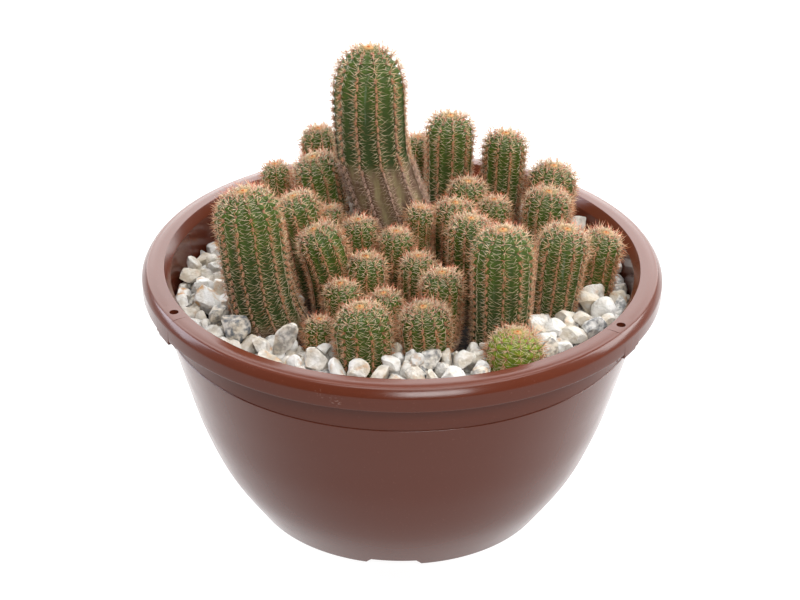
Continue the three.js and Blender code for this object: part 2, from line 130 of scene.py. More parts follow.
@dataclass(frozen=True)
class Finish:
    """A surface finish: its name, the uniform values of its shader, its relief and the traits it reads.

    The relief is the size of its grain in millimetres, its finer octaves and its depth in millimetres.
    The traits are a mesh's own attributes, each a number from 0 to 1 at every point.
    """

    name: str
    roughness: float
    ior: float = 1.5
    relief: tuple[float, float, float] | None = None
    traits: tuple[str, ...] = ()

    def look(self, tree: bpy.types.NodeTree, traits: list[bpy.types.NodeSocket]) -> dict[str, Any]:
        """Gives the shader's inputs that vary over the surface.

        Args:
            tree: The node tree of the material.
            traits: The sockets of the traits, in their order.

        Returns:
            Sockets or values by the input's name.
        """
        raise NotImplementedError

    def material(self) -> bpy.types.Material:
        """Makes the material.

        Returns:
            The material, which no piece wears yet.
        """
        material = bpy.data.materials.new(self.name)
        material.use_nodes = True
        tree = material.node_tree
        traits = [add_node(tree, "Attribute", {}, "Fac", attribute_name=name) for name in self.traits]
        inputs = {"Roughness": self.roughness, "IOR": self.ior, **self.look(tree, traits)}
        if self.relief:
            size, detail, depth = self.relief
            relief = {"Height": self.grain(tree, size, detail), "Distance": depth * MM, "Strength": 1.0}
            inputs["Normal"] = add_node(tree, "Bump", relief)
        connect(tree, tree.nodes["Principled BSDF"], inputs)
        return material

    @staticmethod
    def grain(
        tree: bpy.types.NodeTree, size: float, detail: float, stretch: tuple[float, ...] = (1, 1, 1)
    ) -> bpy.types.NodeSocket:
        """Makes a cloudy pattern whose patches are of a real size.

        Args:
            tree: The node tree.
            size: The size of a patch in millimetres.
            detail: How many finer octaves it has.
            stretch: How much the pattern is squeezed along each axis.

        Returns:
            The pattern's value, around 0.5.
        """
        place = add_node(tree, "TexCoord", {}, "Object")
        placed = add_node(tree, "Mapping", {"Vector": place, "Scale": stretch})
        inputs = {"Vector": placed, "Scale": 1 / (size * MM), "Detail": detail}
        return add_node(tree, "TexNoise", inputs, "Fac")

    @classmethod
    def patches(
        cls,
        tree: bpy.types.NodeTree,
        size: float,
        detail: float,
        low: float,
        high: float,
        stretch: tuple[float, ...] = (1, 1, 1),
        to: tuple[float, float] = (0, 1),
    ) -> bpy.types.NodeSocket:
        """Makes patches of a real size, where the grain passes from low to high.

        Args:
            tree: The node tree.
            size: The size of a patch in millimetres.
            detail: How many finer octaves its edge has.
            low: The grain at which a patch starts.
            high: The grain at which it is at its strongest.
            stretch: How much the pattern is squeezed along each axis.
            to: The values outside a patch and inside it.

        Returns:
            The strength of the patches.
        """
        cloud = cls.grain(tree, size, detail, stretch)
        return add_node(tree, "MapRange", {0: cloud, 1: low, 2: high, 3: to[0], 4: to[1]})

    @staticmethod
    def layers(
        tree: bpy.types.NodeTree,
        base: bpy.types.NodeSocket | str,
        *coats: tuple[bpy.types.NodeSocket, bpy.types.NodeSocket | str],
    ) -> bpy.types.NodeSocket:
        """Lays colours over a base, each by its share.

        Args:
            tree: The node tree.
            base: The lowest colour, a socket or a hex value.
            *coats: The share and the colour of each layer, from the lowest up.

        Returns:
            The mixed colour.
        """
        for share, tone in coats:
            first, second = (colour(c) if isinstance(c, str) else c for c in (base, tone))
            base = add_node(tree, "Mix", {0: share, 6: first, 7: second}, 2, data_type="RGBA")
        return base


@dataclass(frozen=True)
class MouldedPolypropylene(Finish):
    """Injection-moulded brown polypropylene: an even colour under a satin gloss, pale at grazing angles.

    A row of scuffs holds the place of one scuff on the rim and its reach, in millimetres.
    """

    relief: tuple[float, float, float] = (1.1, 1, 0.006)
    brown: str = "#58291a"
    pale: str = "#613226"
    scuff: str = "#94746a"
    scuffs: tuple[tuple[float, ...], ...] = (
        (-42, -143.5, 149, 3.2),
        (-33.5, -146, 146.5, 4),
        (120.4, -88, 153, 1.2),
    )

    def look(self, tree: bpy.types.NodeTree, traits: list[bpy.types.NodeSocket]) -> dict[str, Any]:
        """Gives the plastic a little dust, small scuffs on the front of the rim and an uneven gloss.

        Args:
            tree: The node tree of the material.
            traits: The sockets of the traits, in their order.

        Returns:
            Sockets or values by the input's name.
        """
        dust = self.patches(tree, 1.3, 2, 0.66, 0.76)
        place = add_node(tree, "TexCoord", {}, "Object")
        worn = 0.0
        for x, y, z, reach in self.scuffs:
            spot = (x * MM, y * MM, z * MM)
            away = add_node(tree, "VectorMath", {0: place, 1: spot}, "Value", operation="DISTANCE")
            near = add_node(tree, "MapRange", {0: away, 1: reach * MM, 2: 0.3 * reach * MM})
            worn = add_node(tree, "Math", {0: near, 1: worn}, operation="MAXIMUM")
        scratch = self.patches(tree, 2, 3, 0.58, 0.66, (1, 1, 2.5), (0, 0.8))
        mark = add_node(tree, "Math", {0: worn, 1: scratch}, operation="MULTIPLY")
        gloss = (self.roughness - 0.03, self.roughness + 0.04)
        return {
            "Base Color": self.layers(tree, self.brown, (dust, self.pale), (mark, self.scuff)),
            "Roughness": self.patches(tree, 14, 3, 0.3, 0.75, to=gloss),
        }


@dataclass(frozen=True)
class TumbledMarble(Finish):
    """Crushed and tumbled marble chips: chalky white faces, a few grey speckled ones and rusty stains."""

    relief: tuple[float, float, float] = (2, 8, 1.1)
    traits: tuple[str, ...] = ("tone", "stain", "cream")
    white: str = "#d6d4d0"
    cream: str = "#c0b4a1"
    grey: str = "#64686d"
    rust: str = "#b98a55"

    def look(self, tree: bpy.types.NodeTree, traits: list[bpy.types.NodeSocket]) -> dict[str, Any]:
        """Gives the stone clouds, veins and stains, by each chip's own traits.

        Args:
            tree: The node tree of the material.
            traits: The sockets of the traits, in their order.

        Returns:
            Sockets or values by the input's name.
        """
        tone, stain, cream = traits
        cloudy = self.patches(tree, 6, 3, 0.4, 0.75)
        creamy = add_node(tree, "Math", {0: cloudy, 1: cream}, operation="ADD")
        veins = self.patches(tree, 3, 6, 0.42, 0.62)
        grey = add_node(tree, "Math", {0: tone, 1: veins}, operation="MULTIPLY")
        blots = self.patches(tree, 5, 4, 0.55, 0.68)
        rusty = add_node(tree, "Math", {0: stain, 1: blots}, operation="MULTIPLY")
        coats = ((creamy, self.cream), (grey, self.grey), (rusty, self.rust))
        return {"Base Color": self.layers(tree, self.white, *coats)}


@dataclass(frozen=True)
class PottingMix(Finish):
    """Peat and bark fines: nearly black when damp, with paler crumbs."""

    relief: tuple[float, float, float] = (2.2, 5, 0.8)
    dark: str = "#1d1511"
    crumb: str = "#4a382b"

    def look(self, tree: bpy.types.NodeTree, traits: list[bpy.types.NodeSocket]) -> dict[str, Any]:
        """Gives the soil its crumbs.

        Args:
            tree: The node tree of the material.
            traits: The sockets of the traits, in their order.

        Returns:
            Sockets or values by the input's name.
        """
        crumbs = self.patches(tree, 2.2, 4, 0.5, 0.65)
        return {"Base Color": self.layers(tree, self.dark, (crumbs, self.crumb))}


@dataclass(frozen=True)
class CactusSkin(Finish):
    """Waxy cactus skin: fresh green near the crown, darker below, and corky brown where it is old, with
    painted shade in the grooves between the ribs and in the creases between the areoles; the fresh green is
    darkened as painted shade among the crown's spines.
    """

    relief: tuple[float, float, float] = (0.9, 3, 0.12)
    traits: tuple[str, ...] = ("age", "crest", "crease", "cork", "vigour")
    # The fresh green is darker than the real new growth: painted shade among the crown's spines and furrows.
    fresh: str = "#3a4d0b"
    green: str = "#455a1d"
    # The shade colour is the old skin's green lower down, and also the painted shade of the grooves and
    # creases.
    shade: str = "#384723"
    bright: str = "#8ea222"
    wax: str = "#8fa08a"
    cork: str = "#8b7f5c"
    old_cork: str = "#6a5344"

    def look(self, tree: bpy.types.NodeTree, traits: list[bpy.types.NodeSocket]) -> dict[str, Any]:
        """Colours the skin by each stem's own age, ribs, cork and vigour, and paints shade into the grooves
        and into the creases between the areoles.

        Args:
            tree: The node tree of the material.
            traits: The sockets of the traits, in their order.

        Returns:
            Sockets or values by the input's name.
        """
        age, crest, crease, cork, vigour = traits
        clouded = add_node(tree, "Math", {0: age, 1: self.grain(tree, 9, 3)}, operation="ADD")
        aged = add_node(tree, "MapRange", {0: clouded, 1: 0.55, 2: 1.3})
        stops = ((0.0, self.fresh), (0.35, self.green), (1.0, self.shade))
        flesh = add_node(tree, "ValToRGB", {0: aged}, stops=stops)
        # Painted shade: the grooves between the ribs take up to 0.35 of the shade colour.
        groove = add_node(tree, "MapRange", {0: crest, 1: 0.0, 2: 0.4, 3: 0.35, 4: 0.0})
        # Painted shade: the creases between the areoles near the crown take up to 0.75 of the shade colour.
        dip = add_node(tree, "MapRange", {0: crease, 1: 0.35, 2: 1.0, 3: 0.0, 4: 0.75})
        streak = self.patches(tree, 2.6, 2, 0.62, 0.72, (1, 1, 0.1), (0, 0.4))
        furrow = add_node(tree, "MapRange", {0: crest, 1: 0.4, 2: 0.0})
        waxy = add_node(tree, "Math", {0: streak, 1: furrow}, operation="MULTIPLY")
        coats = ((vigour, self.bright), (groove, self.shade), (dip, self.shade), (waxy, self.wax))
        flesh = self.layers(tree, flesh, *coats)
        bands = self.patches(tree, 3, 3, 0.35, 0.65, (1, 1, 0.2))
        flank = add_node(tree, "MapRange", {0: crest, 1: 0.9, 2: 0.3})
        banded = add_node(tree, "Math", {0: bands, 1: flank}, operation="MULTIPLY")
        bark = self.layers(tree, self.old_cork, (banded, self.cork))
        return {"Base Color": self.layers(tree, flesh, (cork, bark))}


@dataclass(frozen=True)
class WoollyFelt(Finish):
    """The short wool of the areoles: pink when fresh, then tan, and cream in the crown's eye.

    Real fibres are finer than a pixel, so the fuzz is drawn in flecks of half a millimetre to a millimetre.
    """

    relief: tuple[float, float, float] = (0.5, 2, 0.25)
    traits: tuple[str, ...] = ("age", "fresh", "core", "eye", "heart")
    young: str = "#bf8e69"
    deep: str = "#8a5a3f"
    old: str = "#a08475"
    pink: str = "#ab7d6a"
    core: str = "#6e3c36"
    cream: str = "#b08c5a"
    heart: str = "#a8561c"

    def look(self, tree: bpy.types.NodeTree, traits: list[bpy.types.NodeSocket]) -> dict[str, Any]:
        """Colours the wool by its age, its place in the areole and its place in the crown.

        Args:
            tree: The node tree of the material.
            traits: The sockets of the traits, in their order.

        Returns:
            Sockets or values by the input's name.
        """
        age, fresh, core, eye, heart = traits
        fuzz = self.patches(tree, 0.9, 2, 0.38, 0.6)
        centre = self.layers(tree, self.cream, (heart, self.heart))
        coats = ((fuzz, self.young), (age, self.old), (fresh, self.pink), (core, self.core), (eye, centre))
        return {"Base Color": self.layers(tree, self.deep, *coats)}


@dataclass(frozen=True)
class SpineHorn(Finish):
    """Horny spines: cream with a rust red tip when fresh, straw or tan with age, dull brown on old wood."""

    traits: tuple[str, ...] = ("along", "warmth", "cork")
    root: str = "#a87858"
    shaft: str = "#dfc8ae"
    tip: str = "#b8491f"
    straw: str = "#d2bd8c"
    tan: str = "#bb8260"
    heart: str = "#bf6a25"
    old: str = "#b09480"

    def look(self, tree: bpy.types.NodeTree, traits: list[bpy.types.NodeSocket]) -> dict[str, Any]:
        """Colours the horn by the place along each spine, its age and its chance.

        Args:
            tree: The node tree of the material.
            traits: The sockets of the traits, in their order.

        Returns:
            Sockets or values by the input's name.
        """
        along, warmth, cork = traits
        stops = ((0.0, self.root), (0.16, self.shaft), (0.42, self.shaft), (0.66, self.tip))
        young = add_node(tree, "ValToRGB", {0: along}, stops=stops)
        stops = ((0.0, self.shaft), (0.4, self.straw), (0.7, self.tan), (1.0, self.heart))
        aged = add_node(tree, "ValToRGB", {0: warmth}, stops=stops)
        warm = add_node(tree, "MapRange", {0: warmth, 1: 0.05, 2: 0.6})
        return {"Base Color": self.layers(tree, young, (warm, aged), (cork, self.old))}


def slope(
    tree: bpy.types.NodeTree, source: str, depths: tuple[float, float], to: tuple[float, float]
) -> bpy.types.NodeSocket:
    """Makes a strength that grows from the front to the back of the studio.

    Args:
        tree: The node tree.
        source: The texture coordinate that it reads.
        depths: The coordinates at which the growth starts and ends.
        to: The strengths at the two ends.

    Returns:
        The strength.
    """
    place = add_node(tree, "TexCoord", {}, source)
    depth = add_node(tree, "SeparateXYZ", {0: place}, "Y")
    return add_node(tree, "MapRange", {0: depth, 1: depths[0], 2: depths[1], 3: to[0], 4: to[1]})


@dataclass(frozen=True)
class LightTable(Finish):
    """A matt acrylic light table: it glows white, a little more towards the back, and keeps soft shadows."""

    grey: str = "#6a6a6a"
    depths: tuple[float, float] = (-0.15, 0.05)
    glow: tuple[float, float] = (0.8, 1.25)

    def look(self, tree: bpy.types.NodeTree, traits: list[bpy.types.NodeSocket]) -> dict[str, Any]:
        """Gives the table its colour and its glow.

        Args:
            tree: The node tree of the material.
            traits: The sockets of the traits, in their order.

        Returns:
            Sockets or values by the input's name.
        """
        glow = slope(tree, "Object", self.depths, self.glow)
        return {"Base Color": colour(self.grey), "Emission Color": WHITE, "Emission Strength": glow}


def deselect() -> None:
    """Leaves nothing selected, so that the next operator acts only on what it makes."""
    if bpy.context.object and bpy.context.object.mode != "OBJECT":
        bpy.ops.object.mode_set(mode="OBJECT")
    bpy.ops.object.select_all(action="DESELECT")


def select(piece: bpy.types.Object) -> None:
    """Makes a piece the only selected and the active one.

    Args:
        piece: The piece.
    """
    deselect()
    piece.select_set(True)
    bpy.context.view_layer.objects.active = piece


def settle(piece: bpy.types.Object, name: str) -> bpy.types.Object:
    """Names a piece and applies its place, so that its object is at the origin.

    Args:
        piece: The piece.
        name: Its name.

    Returns:
        The same piece.
    """
    select(piece)
    bpy.ops.object.transform_apply(location=True, rotation=True, scale=True)
    piece.name = name
    piece.data.name = name
    return piece


def apply_modifier(piece: bpy.types.Object, kind: str, **settings: Any) -> None:
    """Adds a modifier with its settings and applies it.

    Args:
        piece: The piece that it changes.
        kind: The modifier's type.
        **settings: The modifier's own properties.
    """
    select(piece)
    modifier = piece.modifiers.new(kind, kind)
    for name, value in settings.items():
        setattr(modifier, name, value)
    bpy.ops.object.modifier_apply(modifier=modifier.name)


def make_mesh(name: str, points: np.ndarray, faces: np.ndarray) -> bpy.types.Object:
    """Makes a piece from points in millimetres and faces that all have the same number of corners.

    Args:
        name: The piece's name.
        points: The places, one row each.
        faces: The point numbers, one row for each face.

    Returns:
        The piece, linked to the scene.
    """
    mesh = bpy.data.meshes.new(name)
    corners = faces.shape[1]
    mesh.vertices.add(len(points))
    mesh.vertices.foreach_set("co", (points * MM).astype(np.float32).ravel())
    mesh.loops.add(faces.size)
    mesh.loops.foreach_set("vertex_index", faces.astype(np.int32).ravel())
    mesh.polygons.add(len(faces))
    mesh.polygons.foreach_set("loop_start", np.arange(0, faces.size, corners, dtype=np.int32))
    mesh.update(calc_edges=True)
    piece = bpy.data.objects.new(name, mesh)
    bpy.context.scene.collection.objects.link(piece)
    return piece


def give_trait(piece: bpy.types.Object, name: str, values: np.ndarray) -> None:
    """Stores one number for each point of a piece, which its finish reads."""
    layer = piece.data.attributes.new(name, "FLOAT", "POINT")
    layer.data.foreach_set("value", np.asarray(values, np.float32))


def dress(piece: bpy.types.Object, material: bpy.types.Material, slot: str, *nodes: str) -> None:
    """Gives a finished piece its material and its body, and hides the nodes that it stands for.

    Args:
        piece: The piece.
        material: Its material.
        slot: The slot of the record that it belongs to. It is not used.
        *nodes: The nodes of the solids that it replaces.
    """
    piece.data.materials.clear()
    piece.data.materials.append(material)
    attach(piece, "root")
    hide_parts(*nodes)
    piece.data.calc_loop_triangles()
    LOG.info("%s: %d triangles", piece.name, len(piece.data.loop_triangles))


def shade(piece: bpy.types.Object, degrees: float = 180) -> None:
    """Shades a piece smooth.

    Args:
        piece: The piece.
        degrees: The angle between faces above which an edge stays sharp.
    """
    select(piece)
    if degrees < 180:
        bpy.ops.object.shade_smooth_by_angle(angle=math.radians(degrees))
    else:
        bpy.ops.object.shade_smooth()


def template(piece: bpy.types.Object) -> Shape:
    """Takes a modelled piece's points and triangles for copying, and removes the piece.

    Args:
        piece: The piece that is copied.

    Returns:
        Its points, in the piece's own units, and its triangles.
    """
    mesh = piece.data
    mesh.calc_loop_triangles()
    points = np.empty(len(mesh.vertices) * 3, np.float32)
    mesh.vertices.foreach_get("co", points)
    triangles = np.empty(len(mesh.loop_triangles) * 3, np.int32)
    mesh.loop_triangles.foreach_get("vertices", triangles)
    bpy.data.objects.remove(piece)
    return points.reshape(-1, 3).astype(float), triangles.reshape(-1, 3)


def copies(name: str, shape: Shape, frames: np.ndarray, places: np.ndarray) -> bpy.types.Object:
    """Copies one shape to many places in one mesh.

    Args:
        name: The piece's name.
        shape: The points and triangles that are copied.
        frames: For each copy, the three columns that its own axes become, in millimetres.
        places: For each copy, its place in millimetres.

    Returns:
        The piece.
    """
    points, triangles = shape
    placed = np.einsum("nij,pj->npi", frames, points) + places[:, None, :]
    starts = np.arange(len(places))[:, None, None] * len(points)
    return make_mesh(name, placed.reshape(-1, 3), (triangles[None] + starts).reshape(-1, 3))


def lathe(name: str, outline: list[tuple[float, float]], steps: int) -> bpy.types.Object:
    """Turns an outline about the upright axis, as on a lathe.

    Args:
        name: The piece's name.
        outline: Radius and height of each point, from the axis round the section and back to the axis.
        steps: The number of steps round the axis.

    Returns:
        The closed piece with its faces outwards.
    """
    deselect()
    bpy.ops.mesh.primitive_circle_add(vertices=len(outline), radius=1)
    piece = bpy.context.object
    for vertex, (radius, height) in zip(piece.data.vertices, outline):
        vertex.co = (radius * MM, 0, height * MM)
    bpy.ops.object.mode_set(mode="EDIT")
    bpy.ops.mesh.select_all(action="SELECT")
    bpy.ops.mesh.spin(steps=steps, angle=2 * math.pi, center=(0, 0, 0), axis=(0, 0, 1))
    bpy.ops.mesh.select_all(action="SELECT")
    bpy.ops.mesh.remove_doubles(threshold=1e-6)
    bpy.ops.mesh.normals_make_consistent(inside=False)
    bpy.ops.object.mode_set(mode="OBJECT")
    return settle(piece, name)


def arc(
    centre: tuple[float, float], radius: float, start: float, end: float, steps: int
) -> list[tuple[float, float]]:
    """Places points on an arc of an outline.

    Args:
        centre: The arc's centre.
        radius: Its radius.
        start: The angle in degrees at which it starts.
        end: The angle in degrees at which it ends.
        steps: The steps between the two.

    Returns:
        The points, from the start to the end.
    """
    angles = np.radians(np.linspace(start, end, steps + 1))
    return [(centre[0] + radius * math.cos(a), centre[1] + radius * math.sin(a)) for a in angles]


def spline(points: list[tuple[float, ...]], steps: int) -> np.ndarray:
    """Draws an even curve through points, as a draughtsman's spline.

    Args:
        points: The points that it passes through.
        steps: The steps between two points.

    Returns:
        The points on the curve.
    """
    given = np.array(points, float)
    padded = np.vstack([given[:1], given, given[-1:]])
    drawn = []
    for p0, p1, p2, p3 in zip(padded, padded[1:], padded[2:], padded[3:]):
        for t in np.arange(steps) / steps:
            v0, v1 = (p2 - p0) / 2, (p3 - p1) / 2
            drawn.append(
                (2 * p1 - 2 * p2 + v0 + v1) * t**3 + (-3 * p1 + 3 * p2 - 2 * v0 - v1) * t**2 + v0 * t + p1
            )
    return np.array([*drawn, given[-1]])


@dataclass
class Bowl:
    """The hanging bowl: a turned shell with a flat rim, a skirt, hanger pads, foot slots and drain holes.

    Hangers and notches are degrees round the bowl. Side runs up the outside of the wall, and ledge is the
    corner above it, each as radius and height. Rim_flat holds the angles in degrees between which the
    rim's corner is flatter, and the angle at which the corner ends. A hook lies from the rim's edge, the
    pad's side and the skirt's bottom. The boss under a pad and the hollow in it lie from the neck, the
    pad's side and the skirt's bottom up to the rim's edge, the pad's other side and the rim's underside.
    """

    wall: float = 2.6
    foot_radius: float = 88.5
    foot_width: float = 4.0
    foot_height: float = 6.6
    foot_round: float = 2.2
    floor_top: float = 9.2
    ledge: tuple[float, float] = (136.7, 121.9)
    neck_radius: float = 136.2
    rim_radius: float = 150.0
    rim_top: float = 154.2
    rim_round: float = 5.3
    rim_flat: tuple[float, ...] = (27, 41, 84)
    rim_flat_radius: float = 16.0
    skirt_bottom: float = 141.5
    mouth_radius: float = 137.0
    mouth_bevel: float = 5.0
    side: tuple[tuple[float, float], ...] = (
        (88.5, 0),
        (107.8, 30.5),
        (120.4, 61),
        (129, 91.5),
        (136.7, 121.5),
    )
    hangers: tuple[float, ...] = (-33, -151.3, 88)
    hanger_radius: float = 142.4
    bore: float = 2.55
    pad_width: float = 16.2
    pad_rise: float = 0.14
    hook_reach: tuple[float, float] = (-6, -3)
    hook_side: tuple[float, float] = (-0.5, 2.8)
    hook_rise: tuple[float, float] = (-3.8, 2)
    hook_round: float = 0.4
    boss: tuple[tuple[float, ...], ...] = ((-1, 1, -3), (-0.7, -1.6, 1))
    boss_round: float = 0.5
    hollow: tuple[tuple[float, ...], ...] = ((3, 3.5, -1), (-3.5, -3.5, 0))
    notches: tuple[float, ...] = (-92, 28, 148)
    notch_width: float = 31.0
    notch_slant: float = 2.5
    notch_height: float = 6.3
    drains: int = 6
    drain_radius: float = 2.5
    drain_ring: float = 60.0
    first_drain: float = 30.0
    crease: float = 32.0
    steps: int = 240
    finish: MouldedPolypropylene = MouldedPolypropylene("moulded_polypropylene", 0.2, 1.38)

    def inner_radius(self, height: float) -> float:
        """Measures the inside of the wall.

        Args:
            height: The height above the foot.

        Returns:
            The radius of the inside there.
        """
        curve = spline(self.side, 12)
        if height >= self.side[-1][1]:
            return self.neck_radius - self.wall
        return float(np.interp(height, curve[:, 1], curve[:, 0])) - self.wall

    def rim_corner(self, raised: float = 0) -> list[tuple[float, float]]:
        """Draws the outer corner of the rim, which is flatter in the middle, where it shines.

        Args:
            raised: How far the corner stands above that of the rim.

        Returns:
            Radius and height of each point, from the skirt up to the rim's top.
        """
        radius, height = self.rim_radius, self.rim_top - self.rim_round
        low, high, end = np.radians(self.rim_flat)
        rise = math.sin(high) - math.sin(low)
        tight = (self.rim_round * math.sin(end) - self.rim_flat_radius * rise) / (math.sin(end) - rise)
        parts = [np.linspace(0, low, 5), np.linspace(low, high, 5)[1:], np.linspace(high, end, 7)[1:]]
        turns = np.concatenate(parts)
        points = [(radius, height)]
        for before, after in zip(turns[:-1], turns[1:]):
            size = self.rim_flat_radius if low - 0.001 <= before < high - 0.001 else tight
            radius += size * (math.cos(after) - math.cos(before))
            height += size * (math.sin(after) - math.sin(before))
            points.append((radius + raised * (math.cos(after) - 1), height + raised * math.sin(after)))
        return points

    def outline(self) -> list[tuple[float, float]]:
        """Draws the section of the wall, from the axis under the floor round the rim and back inside.

        The plain numbers are the small steps and roundings of the moulding, in millimetres.

        Returns:
            Radius and height of each point.
        """
        top, edge = self.rim_top, self.rim_radius
        under = top - self.rim_round
        inside_foot = self.foot_radius - self.foot_width
        skirt = edge - self.wall
        body = [tuple(p) for p in spline(self.side, 9)[1:-1]]
        inner = [(r - self.wall, z) for r, z in body if z > self.floor_top + 2]
        return [
            (0, self.foot_height),
            (inside_foot - 40, self.foot_height),
            (inside_foot - 1, self.foot_height),
            (inside_foot, self.foot_height - 1),
            *arc((inside_foot + 0.5, 0.5), 0.5, 180, 270, 3),
            *arc((self.foot_radius - self.foot_round, self.foot_round), self.foot_round, 270, 345, 7),
            *body,
            (self.ledge[0], self.ledge[1] - 0.25),
            (self.ledge[0] - 0.1, self.ledge[1] - 0.1),
            (self.neck_radius, self.ledge[1] + 0.15),
            (self.neck_radius, self.ledge[1] + 2),
            (self.neck_radius, under - 1),
            (self.neck_radius + 1, under),
            (skirt - 1, under),
            (skirt, under - 1),
            (skirt, self.skirt_bottom + 0.5),
            *arc((skirt + 0.5, self.skirt_bottom + 0.5), 0.5, 180, 270, 2),
            *arc((edge - 0.7, self.skirt_bottom + 0.7), 0.7, 270, 360, 3),
            (edge, self.skirt_bottom + 3),
            *self.rim_corner(),
            (edge - self.rim_round - 0.3, top + 0.05),
            (edge - self.rim_round - 0.7, top + 0.2),
            (self.mouth_radius + 4, top + 0.2),
            (self.mouth_radius + 1.3, top + 0.2),
            *arc((self.mouth_radius + 0.4, top - 0.2), 0.4, 90, 140, 4),
            *arc((self.neck_radius - self.wall + 1, top - self.mouth_bevel - 0.4), 1, 140, 180, 3),
            (self.neck_radius - self.wall, self.side[-1][1] + 10),
            (self.neck_radius - self.wall, self.side[-1][1]),
            *reversed(inner),
            (inner[0][0] - 3, self.floor_top),
            (40, self.floor_top),
            (0, self.floor_top),
        ]

    def block(
        self,
        azimuth: float,
        low: tuple[float, float, float],
        high: tuple[float, float, float],
        bevel: float = 0,
    ) -> bpy.types.Object:
        """Makes a block at an azimuth on the bowl, for joining or cutting.

        Args:
            azimuth: Degrees round the bowl.
            low: Its least radius, sideways place and height.
            high: Its greatest radius, sideways place and height.
            bevel: How far its edges are rounded.

        Returns:
            The block.
        """
        deselect()
        bpy.ops.mesh.primitive_cube_add(size=1)
        piece = bpy.context.object
        middle, size = (np.array(low) + high) / 2 * MM, np.subtract(high, low) * MM
        spot = Matrix.Translation(Vector(middle)) @ Matrix.Diagonal((*size, 1))
        piece.data.transform(spot)
        if bevel:
            apply_modifier(piece, "BEVEL", width=bevel * MM, segments=3, limit_method="NONE")
        piece.data.transform(Matrix.Rotation(math.radians(azimuth), 4, "Z"))
        return piece

    def drill(self, azimuth: float, ring: float, radius: float, low: float, high: float) -> bpy.types.Object:
        """Makes a round cutter that stands upright on the bowl.

        Args:
            azimuth: Degrees round the bowl.
            ring: Its distance from the bowl's axis.
            radius: Its own radius.
            low: The height of its lower end.
            high: The height of its upper end.

        Returns:
            The cutter.
        """
        deselect()
        turn = math.radians(azimuth)
        spot = (ring * MM * math.cos(turn), ring * MM * math.sin(turn), (low + high) / 2 * MM)
        deep = (high - low) * MM
        bpy.ops.mesh.primitive_cylinder_add(vertices=32, radius=radius * MM, depth=deep, location=spot)
        return settle(bpy.context.object, "drill")

    def notch(self, azimuth: float) -> bpy.types.Object:
        """Makes the cutter of one slot in the foot ring, whose ends slant inwards as it rises.

        Args:
            azimuth: Degrees round the bowl.

        Returns:
            The cutter.
        """
        half = self.notch_width / 2 + self.notch_slant
        low = (self.foot_radius - 10, -half, -1)
        piece = self.block(0, low, (self.foot_radius + 6, half, self.notch_height))
        for vertex in piece.data.vertices:
            if vertex.co.z > 0:
                vertex.co.y -= math.copysign(2 * self.notch_slant * MM, vertex.co.y)
        piece.data.transform(Matrix.Rotation(math.radians(azimuth), 4, "Z"))
        return piece

    @staticmethod
    def combine(piece: bpy.types.Object, tools: list[bpy.types.Object], operation: str) -> None:
        """Joins tools to a piece or cuts them from it, and removes them.

        Args:
            piece: The piece that changes.
            tools: The pieces that it is joined with or cut by.
            operation: UNION or DIFFERENCE.
        """
        group = bpy.data.collections.new("tools")
        for tool in tools:
            for owner in list(tool.users_collection):
                owner.objects.unlink(tool)
            group.objects.link(tool)
        operands = {"operation": operation, "operand_type": "COLLECTION", "collection": group}
        apply_modifier(piece, "BOOLEAN", **operands, solver="EXACT")
        for tool in tools:
            bpy.data.objects.remove(tool)
        bpy.data.collections.remove(group)

    def pad(self, azimuth: float) -> bpy.types.Object:
        """Makes the slightly raised length of the rim round one hanger bore, cut from a turned ring.

        Args:
            azimuth: Degrees round the bowl.

        Returns:
            The pad.
        """
        raised, top, edge = self.pad_rise, self.rim_top + self.pad_rise, self.rim_radius + self.pad_rise
        section = [
            (self.mouth_radius + 0.6, top - 2),
            (edge - self.wall - 1, top - 4),
            (edge - 2 * raised - 1, self.skirt_bottom - 0.3),
            (edge, self.skirt_bottom - 0.3),
            *self.rim_corner(raised),
            (edge - self.rim_round - 1.2, top + 0.2),
            (self.mouth_radius + 1.4, top + 0.1),
            (self.mouth_radius + 0.6, top - 0.5),
        ]
        piece = lathe("pad", section, self.steps)
        half = self.pad_width / 2 * MM
        select(piece)
        bpy.ops.object.mode_set(mode="EDIT")
        for spot, way in (((0, half, 0), (0, 1, 0)), ((0, -half, 0), (0, -1, 0)), ((0, 0, 0), (-1, 0, 0))):
            bpy.ops.mesh.select_all(action="SELECT")
            bpy.ops.mesh.bisect(plane_co=spot, plane_no=way, use_fill=True, clear_outer=True)
        bpy.ops.object.mode_set(mode="OBJECT")
        piece.data.transform(Matrix.Rotation(math.radians(azimuth), 4, "Z"))
        return piece

    def hook(self, azimuth: float) -> bpy.types.Object:
        """Makes the small catch beside a socket, on the side nearer to the front.

        Args:
            azimuth: Degrees round the bowl.

        Returns:
            The catch.
        """
        way = -1 if azimuth > -90 else 1
        reach = [self.rim_radius + step for step in self.hook_reach]
        side = sorted(way * (self.pad_width / 2 + step) for step in self.hook_side)
        rise = [self.skirt_bottom + step for step in self.hook_rise]
        low, high = zip(reach, side, rise)
        return self.block(azimuth, low, high, self.hook_round)

    def socket(self, azimuth: float) -> tuple[bpy.types.Object, bpy.types.Object]:
        """Makes the boss under a hanger pad and the cutter of its hollow.

        Args:
            azimuth: Degrees round the bowl.

        Returns:
            The boss and the cutter.
        """
        half = self.pad_width / 2
        starts = (self.neck_radius, -half, self.skirt_bottom)
        ends = (self.rim_radius, half, self.rim_top - self.rim_round)
        made = []
        for (low, high), bevel in ((self.boss, self.boss_round), (self.hollow, 0)):
            corners = [[a + b for a, b in zip(spot, step)] for spot, step in ((starts, low), (ends, high))]
            made.append(self.block(azimuth, *corners, bevel))
        return tuple(made)

